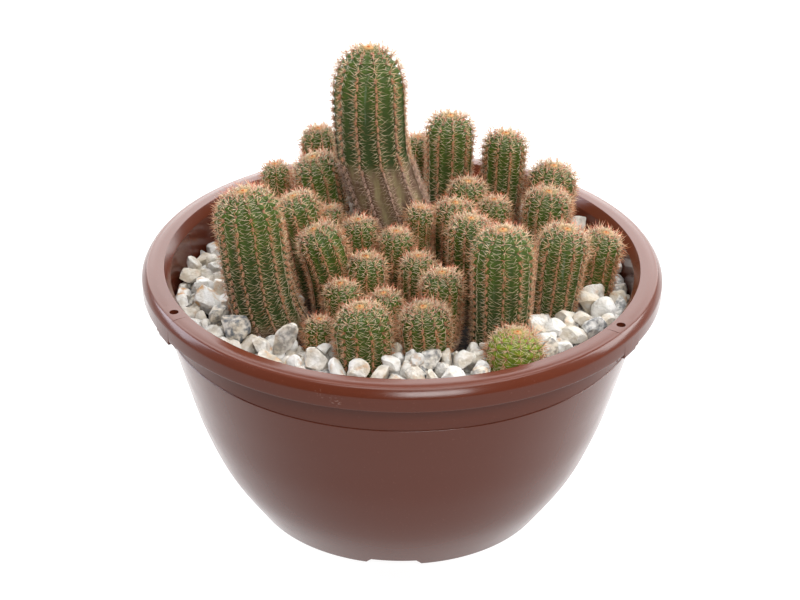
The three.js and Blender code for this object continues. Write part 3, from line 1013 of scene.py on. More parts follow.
    def build(self) -> None:
        """Builds and dresses the bowl."""
        piece = lathe("bowl", self.outline(), self.steps)
        under = self.rim_top - self.rim_round
        joined, cut = [], []
        for azimuth in self.hangers:
            joined += [self.pad(azimuth), self.hook(azimuth)]
            boss, hollow = self.socket(azimuth)
            joined.append(boss)
            cut.append(hollow)
            cut.append(self.drill(azimuth, self.hanger_radius, self.bore, under - 5, self.rim_top + 3))
        cut += [self.notch(azimuth) for azimuth in self.notches]
        for k in range(self.drains):
            azimuth = self.first_drain + 360 * k / self.drains
            cut.append(self.drill(azimuth, self.drain_ring, self.drain_radius, 0, 2 * self.floor_top))
        self.combine(piece, joined, "UNION")
        self.combine(piece, cut, "DIFFERENCE")
        shade(piece, self.crease)
        dress(piece, self.finish.material(), "pot_plastic", "pot")


@dataclass
class Soil:
    """The potting mix: it fills the bowl and its crumbly top shows between the crowded stems."""

    bowl: Bowl
    top: float = 120.0
    relief: float = 2.2
    crumb: float = 5.0
    clear: float = 0.8
    steps: int = 96
    finish: PottingMix = PottingMix("potting_mix", 0.95)

    def build(self) -> None:
        """Builds and dresses the soil."""
        low = self.bowl.floor_top + 0.4
        heights = np.linspace(low + 4, self.top, 10)
        side = [(self.bowl.inner_radius(z) - self.clear, z) for z in heights]
        rings = [(side[-1][0] * share, self.top) for share in np.linspace(0.98, 0, 40)]
        piece = lathe("potting_soil", [(0, low), (side[0][0] - 4, low), *side, *rings], self.steps)
        for vertex in piece.data.vertices:
            if vertex.co.z > (self.top - 0.01) * MM:
                spot = vertex.co / MM
                vertex.co.z += self.relief * MM * noise.fractal(spot / self.crumb, 1, 2, 4)
        shade(piece)
        dress(piece, self.finish.material(), "potting_mix", "soil")


class Habit(Enum):
    """How a stem grows: plain green, or bright new growth."""

    GREEN = 0.0
    BRIGHT = 0.75


@dataclass(frozen=True)
class SpineStyle:
    """The spines: the comb over the grooves, the few that stand up, and the bristles of the crown.

    Lengths and radii are in millimetres. Fan and lift say how far the comb leans along the rib and off the
    skin, and stands holds how far each standing spine leans sideways and along the rib. Young, inner, outer
    and fresh are stretches over the skin from the growing point, as shares of the stem's radius, in which
    that trait fades. A warmth is that of an old areole and what a fresh one lacks. Widest is the place of a
    spine's greatest width as a share of its length, and bend is how far it bows, in its own radii. Of the
    bristles, lean and growth hold the value at the eye and its gain to the ring's edge, radii the least
    share and what luck adds, and warmth the value at the edge and its gain over the warm ring.
    """

    rows: int = 4
    fan: float = 0.75
    root_spread: float = 1.7
    gathered: float = 0.6
    lift: float = 0.18
    young_lean: float = 0.2
    young_lift: float = 0.35
    comb_base: float = 3.3
    comb_share: float = 0.15
    comb_young_loss: float = 0.4
    comb_root: float = 0.135
    comb_warmth: tuple[float, float] = (0.34, 0.24)
    comb_tip: float = 0.45
    stand: float = 3.7
    stand_young: float = 1.9
    stand_inner_loss: float = 2.6
    stand_lift: float = 1.1
    stand_spread: float = 0.6
    stand_root: float = 0.2
    stand_root_gain: float = 0.08
    stand_warmth: tuple[float, float] = (0.7, 0.6)
    stand_tip: float = 1.0
    stands: tuple[tuple[float, float], ...] = (
        (0.0, 0.9),
        (0.0, -0.8),
        (0.55, 0.4),
        (-0.55, 0.4),
        (0.5, -0.4),
        (-0.5, -0.4),
        (0.0, 0.2),
    )
    bristles: int = 55
    bristles_per_mm: float = 3.5
    bristle_length: float = 1.8
    bristle_root: float = 0.19
    bristle_sunk: float = 0.4
    bristle_eye: float = 0.2
    bristle_ring: tuple[float, float] = (0.22, 1.2)
    bristle_tip: float = 0.5
    bristle_lean: tuple[float, float] = (0.1, 0.8)
    bristle_growth: tuple[float, float] = (0.7, 0.8)
    bristle_lengths: tuple[float, float] = (0.8, 1.3)
    bristle_radii: tuple[float, float] = (0.9, 0.3)
    bristle_warmth: tuple[float, float] = (0.5, 0.5)
    bristle_warm_ring: tuple[float, float] = (0.16, 0.6)
    bristle_chance: tuple[float, float] = (-0.15, 0.1)
    bristle_jitter: float = 0.2
    young: tuple[float, float] = (0.35, 1.0)
    inner: tuple[float, float] = (0.25, 0.6)
    outer: tuple[float, float] = (1.2, 2.6)
    fresh: tuple[float, float] = (0.5, 1.4)
    jitter: float = 0.1
    length_jitter: float = 0.2
    warmth_jitter: float = 0.14
    bow_jitter: float = 0.25
    # The next three set how much warmer and browner the comb spines grow below the shoulder, more on slim
    # stems: partly the real browning of old spines, partly painted shade among the crowded stems.
    slim_stem: float = 12.6
    slim_dull_and_shade: float = 0.3
    dull: float = 0.08
    widest: float = 0.38
    bend: float = 2.0
    sunk: float = 0.5


class Spines(NamedTuple):
    """Many spines, with an entry in each array for each of them."""

    root: np.ndarray
    way: np.ndarray
    length: np.ndarray
    thick: np.ndarray
    warm: np.ndarray
    tip: np.ndarray
    lift: np.ndarray


@dataclass(frozen=True)
class WoolStyle:
    """The wool: the pads of the areoles and the eye of the crown with its heart.

    A name with share or gain is a share of another size, and the others are millimetres. Grown is the
    stretch over the skin in which the wool ages, as shares of the stem's radius, and aged is that in which
    it fades, in millimetres. The core lies above a share of the pad's height.
    """

    least: float = 0.85
    chance: float = 0.3
    slim_share: float = 0.7
    slim_gain: float = 0.3
    full_radius: float = 18.0
    width: float = 0.8
    width_gain: float = 0.1
    height: float = 0.85
    pitch_share: float = 0.55
    thickness: float = 0.6
    eye_share: float = 0.15
    eye_least: float = 0.8
    eye_thickness: float = 0.9
    heart_share: float = 0.32
    eye_rise: float = 0.1
    heart_rise: float = 0.6
    grown: tuple[float, float] = (0.7, 1.5)
    aged: tuple[float, float] = (20, 90)
    most_aged: float = 0.6
    most_pink: float = 0.8
    core_height: float = 0.9


@dataclass(frozen=True)
class SkinStyle:
    """The form of the skin: a share is of the stem's radius, and a pitch is from areole to areole."""

    first_pitch: float = 2.0
    pitch_gain: float = 1.2
    pitch_share: float = 0.09
    old_pitch_loss: float = 0.15
    dip_share: float = 0.05
    dip_reach: float = 0.3
    knob_share: float = 0.085
    knob_loss: float = 0.06
    first_areole: tuple[float, float] = (0.26, 0.9)
    areole_jitter: float = 0.12
    rib_jitter: float = 0.012


SKIN = SkinStyle()
STYLE = SpineStyle()
WOOL = WoolStyle()
RIB_DEPTH = 0.18  # The depth of a groove as a share of the stem's width there.
DOME = 0.95  # The height of a dome as a share of the stem's radius.
DOME_POWER = 2.15  # 2 makes a dome round, and more makes it squarer.
TAPER_POWER = 1.6  # How late a stem narrows towards its foot.
STEM_FOOT = 112.0  # The height at which the stems end in the soil.
HIDDEN_BELOW = 122.0  # The gravel and the soil hide the areoles below this height.
NECK_SHARE = 0.33  # How far below the crown the axis bends, as a share of the height.
KNEE_SHARE = 0.28  # How far above the foot it bends.
KNEE_BOW = 1.2  # How far out the lower bend lies, against the neck.
CORK_LEVEL = 126.0  # The height up to which a stem 150 mm high is corky.
CORK_CLIMB = 0.12  # How much higher the cork of a stem ends for each millimetre more.
RIB_POINTS = 4  # The points of the skin from one rib to the next.
RING_GAP = 1.35  # The distance over the skin between two rings of points.
AGED = 75.0  # The distance from the growing point at which the skin is old.


@dataclass
class Stem:
    """One ribbed stem: an axis, a width along it, ribs, areoles and spines.

    Path runs from the foot to the crown. Line is the same axis from the crown down, reach holds the
    distances along it and ups its directions. Profile holds three rows for places on the skin: how far
    they are over the skin from the growing point, how far below the crown, and how far from the axis.
    Turns counts the areoles of a rib up to each of them, and stagger shifts them from rib to rib.
    """

    name: str
    path: np.ndarray
    radius: float
    ribs: int
    foot_share: float
    habit: Habit = Habit.GREEN
    widths: np.ndarray | None = None
    cork_below: float = CORK_LEVEL
    facing: float = 0.0
    seed: int = 1
    dome_share: float = DOME
    dome_power: float = DOME_POWER
    rng: np.random.Generator = field(init=False)
    phase: float = field(init=False)
    line: np.ndarray = field(init=False)
    reach: np.ndarray = field(init=False)
    length: float = field(init=False)
    ups: np.ndarray = field(init=False)
    profile: np.ndarray = field(init=False)
    pitch: np.ndarray = field(init=False)
    turns: np.ndarray = field(init=False)
    stagger: np.ndarray = field(init=False)

    def __post_init__(self) -> None:
        """Measures the axis from the crown down, and the section of the skin along it."""
        self.rng = np.random.default_rng(self.seed)
        self.phase = math.radians(self.facing - 90)
        line = self.path[::-1]
        gaps = np.linalg.norm(np.diff(line, axis=0), axis=1)
        self.reach = np.concatenate([[0], np.cumsum(gaps)])
        self.line = line
        self.length = float(self.reach[-1])
        self.ups = -np.gradient(line, self.reach, axis=0)
        self.ups /= np.linalg.norm(self.ups, axis=1)[:, None]
        rounded = self.dome * (1 - np.cos(np.linspace(0, np.pi / 2, 60)))
        below = np.concatenate([rounded, np.linspace(self.dome, self.length, 240)[1:]])
        width = self.width(below)
        steps = np.hypot(np.diff(below), np.diff(width))
        self.profile = np.stack([np.concatenate([[0], np.cumsum(steps)]), below, width])
        grown = smooth(self.profile[0], 1, 0.9 * self.radius)
        pitch = SKIN.first_pitch + (SKIN.pitch_gain + SKIN.pitch_share * self.radius) * grown
        pitch = pitch * (1 - SKIN.old_pitch_loss * smooth(self.profile[0], 30, 80))
        self.pitch = pitch
        areoles = np.cumsum(np.diff(self.profile[0]) / ((pitch[1:] + pitch[:-1]) / 2))
        self.turns = np.concatenate([[0], areoles])
        self.stagger = 0.5 * (np.arange(self.ribs) % 2) + 0.15 * self.rng.random(self.ribs)

    @property
    def dome(self) -> float:
        """The height of the dome."""
        return self.dome_share * self.radius

    def width(self, below: np.ndarray) -> np.ndarray:
        """Measures the stem without its ribs.

        Args:
            below: Distances below its crown.

        Returns:
            The distance of the skin from the axis there.
        """
        up = np.clip(1 - below / self.dome, 0, 1)
        cap = self.radius * (1 - up**self.dome_power) ** (1 / self.dome_power)
        if self.widths is not None:
            height = np.interp(below, self.reach, self.line[:, 2])
            body = self.stepped(height)
        else:
            share = np.clip((below - self.dome) / (self.length - self.dome), 0, 1) ** TAPER_POWER
            body = self.radius * (1 - (1 - self.foot_share) * share)
        return np.where(below < self.dome, cap, body)

    def stepped(self, height: np.ndarray) -> np.ndarray:
        """Eases between the widths that are given for some heights.

        Args:
            height: Heights above the bowl's foot.

        Returns:
            The widths there.
        """
        z, r = self.widths[:, 0], self.widths[:, 1]
        k = np.clip(np.searchsorted(z, height), 1, len(z) - 1)
        t = np.clip((height - z[k - 1]) / (z[k] - z[k - 1]), 0, 1)
        return r[k - 1] + (r[k] - r[k - 1]) * t * t * (3 - 2 * t)

    def surface(
        self, along: np.ndarray, angle: np.ndarray, extra: np.ndarray | float = 0.0
    ) -> dict[str, np.ndarray]:
        """Finds places on the skin.

        Args:
            along: Distances over the skin from the growing point.
            angle: Angles round the axis.
            extra: How far off the plain width the place is.

        Returns:
            The points, the outward normals, the ways up the skin and sideways, and the widths, by name.
        """
        s, b, w = self.profile
        below, width = np.interp(along, s, b), np.interp(along, s, w)
        centre = np.stack([np.interp(below, self.reach, self.line[:, k]) for k in range(3)], -1)
        up = np.stack([np.interp(below, self.reach, self.ups[:, k]) for k in range(3)], -1)
        up /= np.linalg.norm(up, axis=-1)[..., None]
        side = np.cross(np.broadcast_to([0.0, 1.0, 0.0], up.shape), up)
        side /= np.linalg.norm(side, axis=-1)[..., None]
        front = np.cross(up, side)
        out = side * np.cos(angle)[..., None] + front * np.sin(angle)[..., None]
        slope_b = np.interp(along + 0.3, s, b) - np.interp(along - 0.3, s, b)
        slope_w = np.interp(along + 0.3, s, w) - np.interp(along - 0.3, s, w)
        climb = up * slope_b[..., None] - out * slope_w[..., None]
        climb /= np.maximum(np.linalg.norm(climb, axis=-1), 1e-9)[..., None]
        sideways = np.cross(up, out)
        normal = np.cross(sideways, climb) * -1
        inwards = np.sum(normal * out, -1) + np.sum(normal * up, -1) < 0
        normal = np.where(inwards[..., None], -normal, normal)
        dip = SKIN.dip_share * self.radius * np.exp(-((width / (SKIN.dip_reach * self.radius)) ** 2))
        spot = centre + out * (width + extra)[..., None] - up * dip[..., None]
        return {"point": spot, "normal": normal, "up": climb, "side": sideways, "width": width}

    def rib_wave(self, along: np.ndarray, angle: np.ndarray) -> tuple[np.ndarray, np.ndarray, np.ndarray]:
        """Finds how far the skin lies off the plain width, for its ribs and the knobs under the areoles.

        Args:
            along: Distances over the skin from the growing point.
            angle: Angles round the axis.

        Returns:
            The distance off the width, 1 on a crest to 0 in a groove, and 1 in the creases between areoles.
        """
        s, _, w = self.profile
        width = np.interp(along, s, w)
        turn = (angle - self.phase) * self.ribs / (2 * np.pi)
        crest = (1 + np.cos(2 * np.pi * turn)) / 2
        rib = np.round(turn).astype(int) % self.ribs
        beat = np.interp(along, s, self.turns) - self.stagger[rib]
        knobs = SKIN.knob_share - SKIN.knob_loss * smooth(along, 0.9 * self.radius, 2 * self.radius)
        swell = knobs * self.radius * crest**3 * (np.cos(2 * np.pi * beat) - 0.2)
        flat = smooth(along, 1.0, 0.5 * self.radius)
        crease = (1 - np.cos(2 * np.pi * beat)) / 2 * (1 - smooth(along, self.radius, 2.2 * self.radius))
        return flat * (swell - RIB_DEPTH * width * (1 - crest**0.9)), crest, flat * crease

    def cork(self, height: np.ndarray) -> np.ndarray:
        """How corky the skin is at a height."""
        return 1 - smooth(height, self.cork_below - 5, self.cork_below + 4)

    def build_skin(self, material: bpy.types.Material) -> None:
        """Builds the ribbed skin from a globe whose rings are laid along the axis.

        Args:
            material: The skin.
        """
        across = RIB_POINTS * self.ribs
        total = self.profile[0][-1]
        rings = int(total / RING_GAP)
        deselect()
        bpy.ops.mesh.primitive_uv_sphere_add(segments=across, ring_count=rings, radius=1)
        piece = bpy.context.object
        globe = np.array([v.co for v in piece.data.vertices])
        ring = np.round(np.arccos(np.clip(globe[:, 2], -1, 1)) / np.pi * rings)
        turn = np.arctan2(globe[:, 1], globe[:, 0])
        step = 2 * np.pi / across
        first = turn[np.argmin(np.abs(ring - rings // 2))]
        angle = np.round((turn - first) / step) * step + self.phase
        along = ring / rings * total
        extra, crest, crease = self.rib_wave(along, angle)
        pole = (ring == 0) | (ring == rings)
        place = self.surface(along, angle, extra)
        points = place["point"]
        ends = self.surface(along, angle, -place["width"])["point"]
        points[pole] = ends[pole]
        piece.data.vertices.foreach_set("co", (points * MM).astype(np.float32).ravel())
        piece.data.update()
        piece = settle(piece, f"{self.name}_skin")
        shade(piece)
        give_trait(piece, "crest", crest)
        # The crease trait marks where the skin's finish paints shade between the areoles.
        give_trait(piece, "crease", crease)
        give_trait(piece, "age", np.clip(along / AGED, 0, 1))
        give_trait(piece, "vigour", np.full(len(points), self.habit.value) * (1 - smooth(along, 5, 40)))
        give_trait(piece, "cork", self.cork(points[:, 2]))
        dress(piece, material, "cactus_flesh", self.name)

    def areoles(self) -> dict[str, np.ndarray]:
        """Places the areoles along the crests of the ribs, closer together near the crown.

        Returns:
            The places on the skin, and how far along it they lie.
        """
        s = self.profile[0]
        share, least = SKIN.first_areole
        first = float(np.interp(share * self.radius + least, s, self.turns))
        alongs, angles = [], []
        for rib in range(self.ribs):
            beats = np.arange(first, self.turns[-1] - 1) + self.stagger[rib]
            shift = self.rng.normal(0, SKIN.areole_jitter, len(beats))
            alongs.append(np.interp(beats, self.turns, s) + shift)
            shift = self.rng.normal(0, SKIN.rib_jitter, len(beats))
            angles.append(self.phase + 2 * np.pi * rib / self.ribs + shift)
        along, angle = np.concatenate(alongs), np.concatenate(angles)
        extra, _, _ = self.rib_wave(along, angle)
        found = self.surface(along, angle, extra)
        found["along"], found["pitch"] = along, np.interp(along, s, self.pitch)
        kept = found["point"][:, 2] > HIDDEN_BELOW
        return {key: value[kept] for key, value in found.items()}

    def build_felt(self, found: dict[str, np.ndarray], shape: Shape, material: bpy.types.Material) -> None:
        """Builds the woolly pads of the areoles, and the cream eye with its rusty heart on the crown.

        Args:
            found: The areoles.
            shape: One pad, a ball with a radius of 1.
            material: The wool.
        """
        count = len(found["along"])
        share = min(self.radius / WOOL.full_radius, 1)
        size = WOOL.least + WOOL.chance * self.rng.random(count)
        size = size * (WOOL.slim_share + WOOL.slim_gain * share)
        start, end = WOOL.grown
        grown = smooth(found["along"], start * self.radius, end * self.radius)
        tall = WOOL.height * (1 - grown) * size + WOOL.pitch_share * found["pitch"] * grown
        frames = np.stack(
            [
                found["side"] * ((WOOL.width + WOOL.width_gain * grown) * size)[:, None],
                found["up"] * tall[:, None],
                found["normal"] * (WOOL.thickness * size)[:, None],
            ],
            axis=-1,
        )
        crown = self.surface(np.array([0.02]), np.array([0.0]))
        side = crown["side"][0]
        axes = np.stack([side, np.cross(self.ups[0], side), self.ups[0]], -1)
        wide = WOOL.eye_share * self.radius + WOOL.eye_least
        small = WOOL.heart_share * wide
        eyes = np.stack([axes * [wide, wide, WOOL.eye_thickness], axes * [small, small, WOOL.eye_thickness]])
        places = [found["point"]]
        places += [crown["point"] + rise * self.ups[0] for rise in (WOOL.eye_rise, WOOL.heart_rise)]
        piece = copies(f"{self.name}_felt", shape, np.concatenate([frames, eyes]), np.concatenate(places))
        faded = WOOL.most_aged * smooth(found["along"], *WOOL.aged)
        age = np.maximum(faded, self.cork(found["point"][:, 2]))
        none = np.zeros(count)
        traits = {
            "age": (age, 0, 0),
            "fresh": (WOOL.most_pink * (1 - grown), 0, 0),
            "eye": (none, 1, 1),
            "heart": (none, 0, 1),
        }
        for name, (values, ring, heart) in traits.items():
            give_trait(piece, name, np.repeat([*values, ring, heart], len(shape[0])))
        top = np.tile(shape[0][:, 2] > WOOL.core_height, count + 2)
        give_trait(piece, "core", np.repeat([*(1 - grown), 0, 0], len(shape[0])) * top)
        shade(piece)
        dress(piece, material, "cactus_flesh", self.name)

    def near_crown(self, found: dict[str, np.ndarray], stretch: tuple[float, float]) -> np.ndarray:
        """Eases from 1 near the growing point to 0 below, over a stretch of the skin.

        Args:
            found: The areoles.
            stretch: Where the fading starts and ends, as shares of the stem's radius.

        Returns:
            A number for each areole.
        """
        start, end = stretch
        return 1 - smooth(found["along"], start * self.radius, end * self.radius)

    def comb(self, found: dict[str, np.ndarray], young: np.ndarray) -> list[Spines]:
        """Lays the spines that lie sideways over the grooves, in rows from the lowest to the highest.

        Args:
            found: The areoles.
            young: 1 for areoles at the growing point to 0 for those below the shoulder.

        Returns:
            The spines of each row and side.
        """
        laid = []
        reach = (STYLE.comb_base + STYLE.comb_share * self.radius) * (1 - STYLE.comb_young_loss * young)
        for row in range(STYLE.rows):
            along = STYLE.fan * (2 * row / (STYLE.rows - 1) - 1)
            some = young < (0.6 if row % 2 else 2)
            here = {key: value[some] for key, value in found.items()}
            fresh = young[some]
            for way in (-1.0, 1.0):
                lean, lift = along + STYLE.young_lean * fresh, STYLE.lift + STYLE.young_lift * fresh
                laid.append(self.spread_out(here, way, lean, lift, reach[some]))
        return laid

    def spread_out(
        self,
        found: dict[str, np.ndarray],
        side: float,
        along: np.ndarray,
        lift: np.ndarray,
        length: np.ndarray,
        stands: bool = False,
    ) -> Spines:
        """Gives each areole one spine, leaning sideways, along the rib and off the skin.

        Args:
            found: The areoles.
            side: How far it leans sideways.
            along: How far it leans up the rib.
            lift: How far it leans off the skin.
            length: Its length.
            stands: Whether it is one of the stouter spines that stand up.

        Returns:
            The spines, one for each areole.
        """
        count = len(found["along"])
        jitter = self.rng.normal(0, STYLE.jitter, (3, count))
        s, u, n = side + jitter[0], along + jitter[1], lift + np.abs(jitter[2])
        way = found["side"] * s[:, None] + found["up"] * u[:, None] + found["normal"] * n[:, None]
        way /= np.linalg.norm(way, axis=1)[:, None]
        fresh = self.near_crown(found, STYLE.fresh)
        apart = STYLE.stand_spread if stands else STYLE.root_spread * (1 - STYLE.gathered * fresh)
        root = found["point"] - found["normal"] * STYLE.sunk + found["up"] * (apart * along)[:, None]
        long = length * (1 + STYLE.length_jitter * self.rng.standard_normal(count)).clip(0.5, 1.5)
        base = STYLE.stand_root + STYLE.stand_root_gain * fresh if stands else STYLE.comb_root
        thick = base * (0.85 + 0.3 * self.rng.random(count))
        # Comb spines grow warmer and browner below the shoulder, more on slim stems: partly real old spines,
        # partly painted shade between the stems.
        most_dull_and_shade = STYLE.slim_dull_and_shade if self.radius < STYLE.slim_stem else STYLE.dull
        dull = most_dull_and_shade * smooth(found["along"], self.radius, 2.4 * self.radius)
        old, lack = STYLE.stand_warmth if stands else STYLE.comb_warmth
        mean = old - lack * fresh if stands else old - lack * fresh + dull
        warm = self.rng.normal(mean, STYLE.warmth_jitter).clip(0, 0.9)
        tip = np.full(count, STYLE.stand_tip if stands else STYLE.comb_tip)
        return Spines(root, way, long, thick, warm, tip, found["normal"])

    def bristles(self) -> Spines:
        """Lays the fine bristles that stand round the eye of the crown, as seeds lie in a flower.

        Returns:
            The bristles, as spines.
        """
        count = STYLE.bristles + int(STYLE.bristles_per_mm * self.radius)
        share = np.sqrt((np.arange(count) + 0.5) / count)
        widest = STYLE.bristle_ring[0] * self.radius + STYLE.bristle_ring[1]
        ring = STYLE.bristle_eye + share * widest
        place = self.surface(ring, GOLDEN_TURN * np.arange(count) + 0.3)
        start, gain = STYLE.bristle_lean
        lean = start + gain * share[:, None] + self.rng.normal(0, STYLE.bristle_jitter, (count, 1))
        sway = self.rng.normal(0, STYLE.bristle_jitter, (count, 1))
        way = place["normal"] - place["up"] * lean + place["side"] * sway
        way /= np.linalg.norm(way, axis=1)[:, None]
        start, gain = STYLE.bristle_growth
        long = STYLE.bristle_length * (start + gain * share)
        long = long * self.rng.uniform(*STYLE.bristle_lengths, count)
        least, luck = STYLE.bristle_radii
        thick = STYLE.bristle_root * (least + luck * self.rng.random(count))
        least, gain = STYLE.bristle_warmth
        warm = least + gain * (1 - smooth(share, *STYLE.bristle_warm_ring))
        warm = (warm + self.rng.uniform(*STYLE.bristle_chance, count)).clip(0, 1)
        root = place["point"] - STYLE.bristle_sunk * place["normal"]
        return Spines(root, way, long, thick, warm, np.full(count, STYLE.bristle_tip), place["normal"])

    def build_spines(
        self,
        found: dict[str, np.ndarray],
        shape: Shape,
        material: bpy.types.Material,
        blocked: Callable[[np.ndarray], np.ndarray],
    ) -> None:
        """Builds the clusters of spines, which comb sideways over the grooves and stand up round the crown.

        Args:
            found: The areoles.
            shape: One spine, a unit long along +Z from the origin.
            material: The horn.
            blocked: Says which points lie inside a neighbour.
        """
        young = self.near_crown(found, STYLE.young)
        inner = self.near_crown(found, STYLE.inner)
        outer = self.near_crown(found, STYLE.outer)
        stand = STYLE.stand + STYLE.stand_young * outer - STYLE.stand_inner_loss * inner
        laid = self.comb(found, young)
        for turn, (side, along) in enumerate(STYLE.stands):
            some = (young < 0.5) | (turn % 2 == 0)
            here = {key: value[some] for key, value in found.items()}
            lean = along - 0.25 * young[some] - 0.5 * inner[some]
            lift = STYLE.stand_lift - 0.1 * young[some]
            laid.append(self.spread_out(here, side, lean, lift, stand[some], stands=True))
        laid.append(self.bristles())
        every = Spines(*(np.concatenate(parts) for parts in zip(*laid)))
        tips = every.root + every.way * every.length[:, None]
        middles = every.root + every.way * (0.5 * every.length)[:, None]
        kept = ~blocked(tips) & ~blocked(middles)
        root, way, length, thick, warm, tip, lift = (part[kept] for part in every)
        bow = lift + self.rng.normal(0, STYLE.bow_jitter, lift.shape)
        across = bow - way * (bow * way).sum(1)[:, None]
        across /= np.linalg.norm(across, axis=1)[:, None]
        turned = np.cross(way, across)
        frames = np.stack([across * thick[:, None], turned * thick[:, None], way * length[:, None]], -1)
        piece = copies(f"{self.name}_spines", shape, frames, root)
        corners = len(shape[0])
        give_trait(piece, "along", np.tile(shape[0][:, 2], len(root)) * np.repeat(tip, corners))
        give_trait(piece, "warmth", np.repeat(warm, corners))
        give_trait(piece, "cork", np.repeat(0.85 * self.cork(root[:, 2]), corners))
        shade(piece)
        dress(piece, material, "cactus_flesh", self.name)


@dataclass
class Clump:
    """All the stems.

    A row of plain holds a stem's name, the foot's x and y, the crown's x, y and z, the radius, how far the
    crown leans, the foot's share of the radius, the ribs, and the way that a rib faces in degrees.
    A row of tall_axis holds a place on the tall stem's axis and the radius there.
    """

    plain: tuple[tuple, ...] = (
        ("stem_02", -66, -25, -88.2, -34, 212.3, 18.5, -0.2, 1.05, 12, 13),
        ("stem_03", -72, 68, -77.6, 73, 179, 8.5, -0.1, 0.7, 10, 6),
        ("stem_04", -44, 82, -52, 90, 195.6, 11, -0.1, 0.7, 10, 13),
        ("stem_05", -38, 47, -54, 54, 193, 13.4, -0.3, 0.8, 11, -10),
        ("stem_06", -46, 10, -63, 4, 191, 12, -0.35, 0.85, 10, -3),
        ("stem_07", -38, -15, -50.5, -19, 181.5, 12.4, -0.55, 0.95, 10, 4),
        ("stem_08", -24, 12, -25.9, 12, 172.5, 10.3, -0.1, 0.7, 10, 11),
        ("stem_09", -2, 0, -3.6, 0, 171.3, 9.8, 0, 0.7, 10, -12),
        ("stem_10", 9, 17, 10.2, 17, 178.2, 7.8, 0.05, 0.7, 10, -5),
        ("stem_11", -18, -24, -20.4, -24, 167.2, 11, 0, 0.72, 10, 2),
        ("stem_12", 8, -20, 9, -20, 165.8, 10.3, 0, 0.7, 10, 9),
        ("stem_13", 23, -43, 22.2, -45, 168.7, 11.5, 0, 0.7, 11, -12),
        ("stem_14", -33, -46, -34.5, -46, 161.4, 10, -0.1, 0.75, 10, -7),
        ("stem_15", -9, -52, -10.2, -52, 159, 10, -0.1, 0.75, 10, 0),
        ("stem_16", -21, -79, -22.8, -81, 166.3, 16, -0.15, 0.75, 12, -10),
        ("stem_17", 14, -70, 11.6, -71, 161.2, 14, -0.15, 0.75, 12, -4),
        ("stem_18", -46, -60, -45.5, -62, 147.5, 8.5, 0, 0.8, 10, -9),
        ("stem_19", 53, -52, 54.4, -57, 201.7, 17.2, -0.03, 0.86, 11, 0),
        ("stem_20", 85, -18, 92.6, -21, 184.4, 13.8, 0.2, 0.8, 11, -13),
        ("stem_21", 110, 7, 117.4, 5, 169.2, 11.2, 0.25, 0.75, 10, 13),
        ("stem_22", 59, -88, 62.6, -88, 155.4, 15.5, 0.1, 0.85, 12, 6),
        ("stem_23", 24, 72, 28, 76, 211, 14, 0.02, 0.7, 10, 7),
        ("stem_24", 57, 70, 61.5, 76, 199.8, 12.6, 0.05, 0.7, 10, 14),
        ("stem_25", 82, 60, 90.8, 69, 182, 14, 0.1, 0.7, 11, -4),
        ("stem_26", 80, 30, 85.8, 35, 181, 13.3, 0.1, 0.7, 11, 5),
        ("stem_27", 36, 48, 38.5, 50, 180, 11, 0.05, 0.7, 10, -6),
        ("stem_28", 28, 18, 30.6, 24, 178.4, 11.8, 0.05, 0.7, 10, 1),
        ("stem_29", 53, 32, 53.8, 34, 175.7, 9.7, 0, 0.7, 10, 8),
        ("stem_30", 36, -12, 38.8, -7, 183.6, 12, 0.05, 0.7, 10, -15),
        ("stem_31", 9, 92, 9.2, 97, 187.4, 9.5, 0.05, 0.7, 10, -8),
        ("stem_32", -40, 26, -42.4, 26, 173.2, 6, -0.1, 0.7, 8, -1),
    )
    tall_name: str = "stem_01_tall"
    tall_ribs: int = 11
    tall_facing: float = 13.5
    tall_radius: float = 20.6
    tall_dome: tuple[float, float] = (1.4, 2.0)
    tall_axis: tuple[tuple[float, ...], ...] = (
        (7, 42, 112, 16),
        (6.5, 42, 124, 17),
        (3, 42, 142, 19.8),
        (-9, 43.5, 172, 21.2),
        (-16.5, 45, 195, 20.8),
        (-18.5, 45, 205, 20.8),
        (-20, 45, 228, 20.8),
        (-20.5, 45, 266.5, 20.3),
    )
    tall_cork: float = 197.0
    bright: tuple[str, ...] = ("stem_22",)
    skin: CactusSkin = CactusSkin("waxy_cactus_skin", 0.5, 1.3)
    felt: WoollyFelt = WoollyFelt("areole_wool", 0.95)
    horn: SpineHorn = SpineHorn("spine_horn", 0.45)

    def stems(self) -> list[Stem]:
        """Lays out every stem's axis.

        Returns:
            The stems, the tall one first.
        """
        axis = spline(self.tall_axis, 24)
        widths = np.array(self.tall_axis)[:, 2:]
        made = [
            Stem(
                self.tall_name,
                axis[:, :3],
                self.tall_radius,
                self.tall_ribs,
                1.0,
                widths=widths,
                cork_below=self.tall_cork,
                facing=self.tall_facing,
                seed=41,
                dome_share=self.tall_dome[0],
                dome_power=self.tall_dome[1],
            )
        ]
        for number, row in enumerate(self.plain):
            name, foot_x, foot_y, crown_x, crown_y, crown_z, radius, lean, foot_share, ribs, facing = row
            foot = np.array([foot_x, foot_y, STEM_FOOT], float)
            crown = np.array([crown_x, crown_y, crown_z], float)
            tall = crown_z - STEM_FOOT
            neck = crown - NECK_SHARE * tall * np.array([lean, 0, 1])
            knee = np.array([*(foot + KNEE_BOW * (neck - foot))[:2], STEM_FOOT + KNEE_SHARE * tall])
            t = np.linspace(0, 1, 80)[:, None]
            path = foot * (1 - t) ** 3 + 3 * t * (1 - t) * (knee * (1 - t) + neck * t) + crown * t**3
            habit = Habit.BRIGHT if name in self.bright else Habit.GREEN
            cork = CORK_LEVEL + CORK_CLIMB * (crown_z - 150)
            stem = Stem(name, path, radius, ribs, foot_share, habit, None, cork, facing, seed=100 + number)
            made.append(stem)
        return made

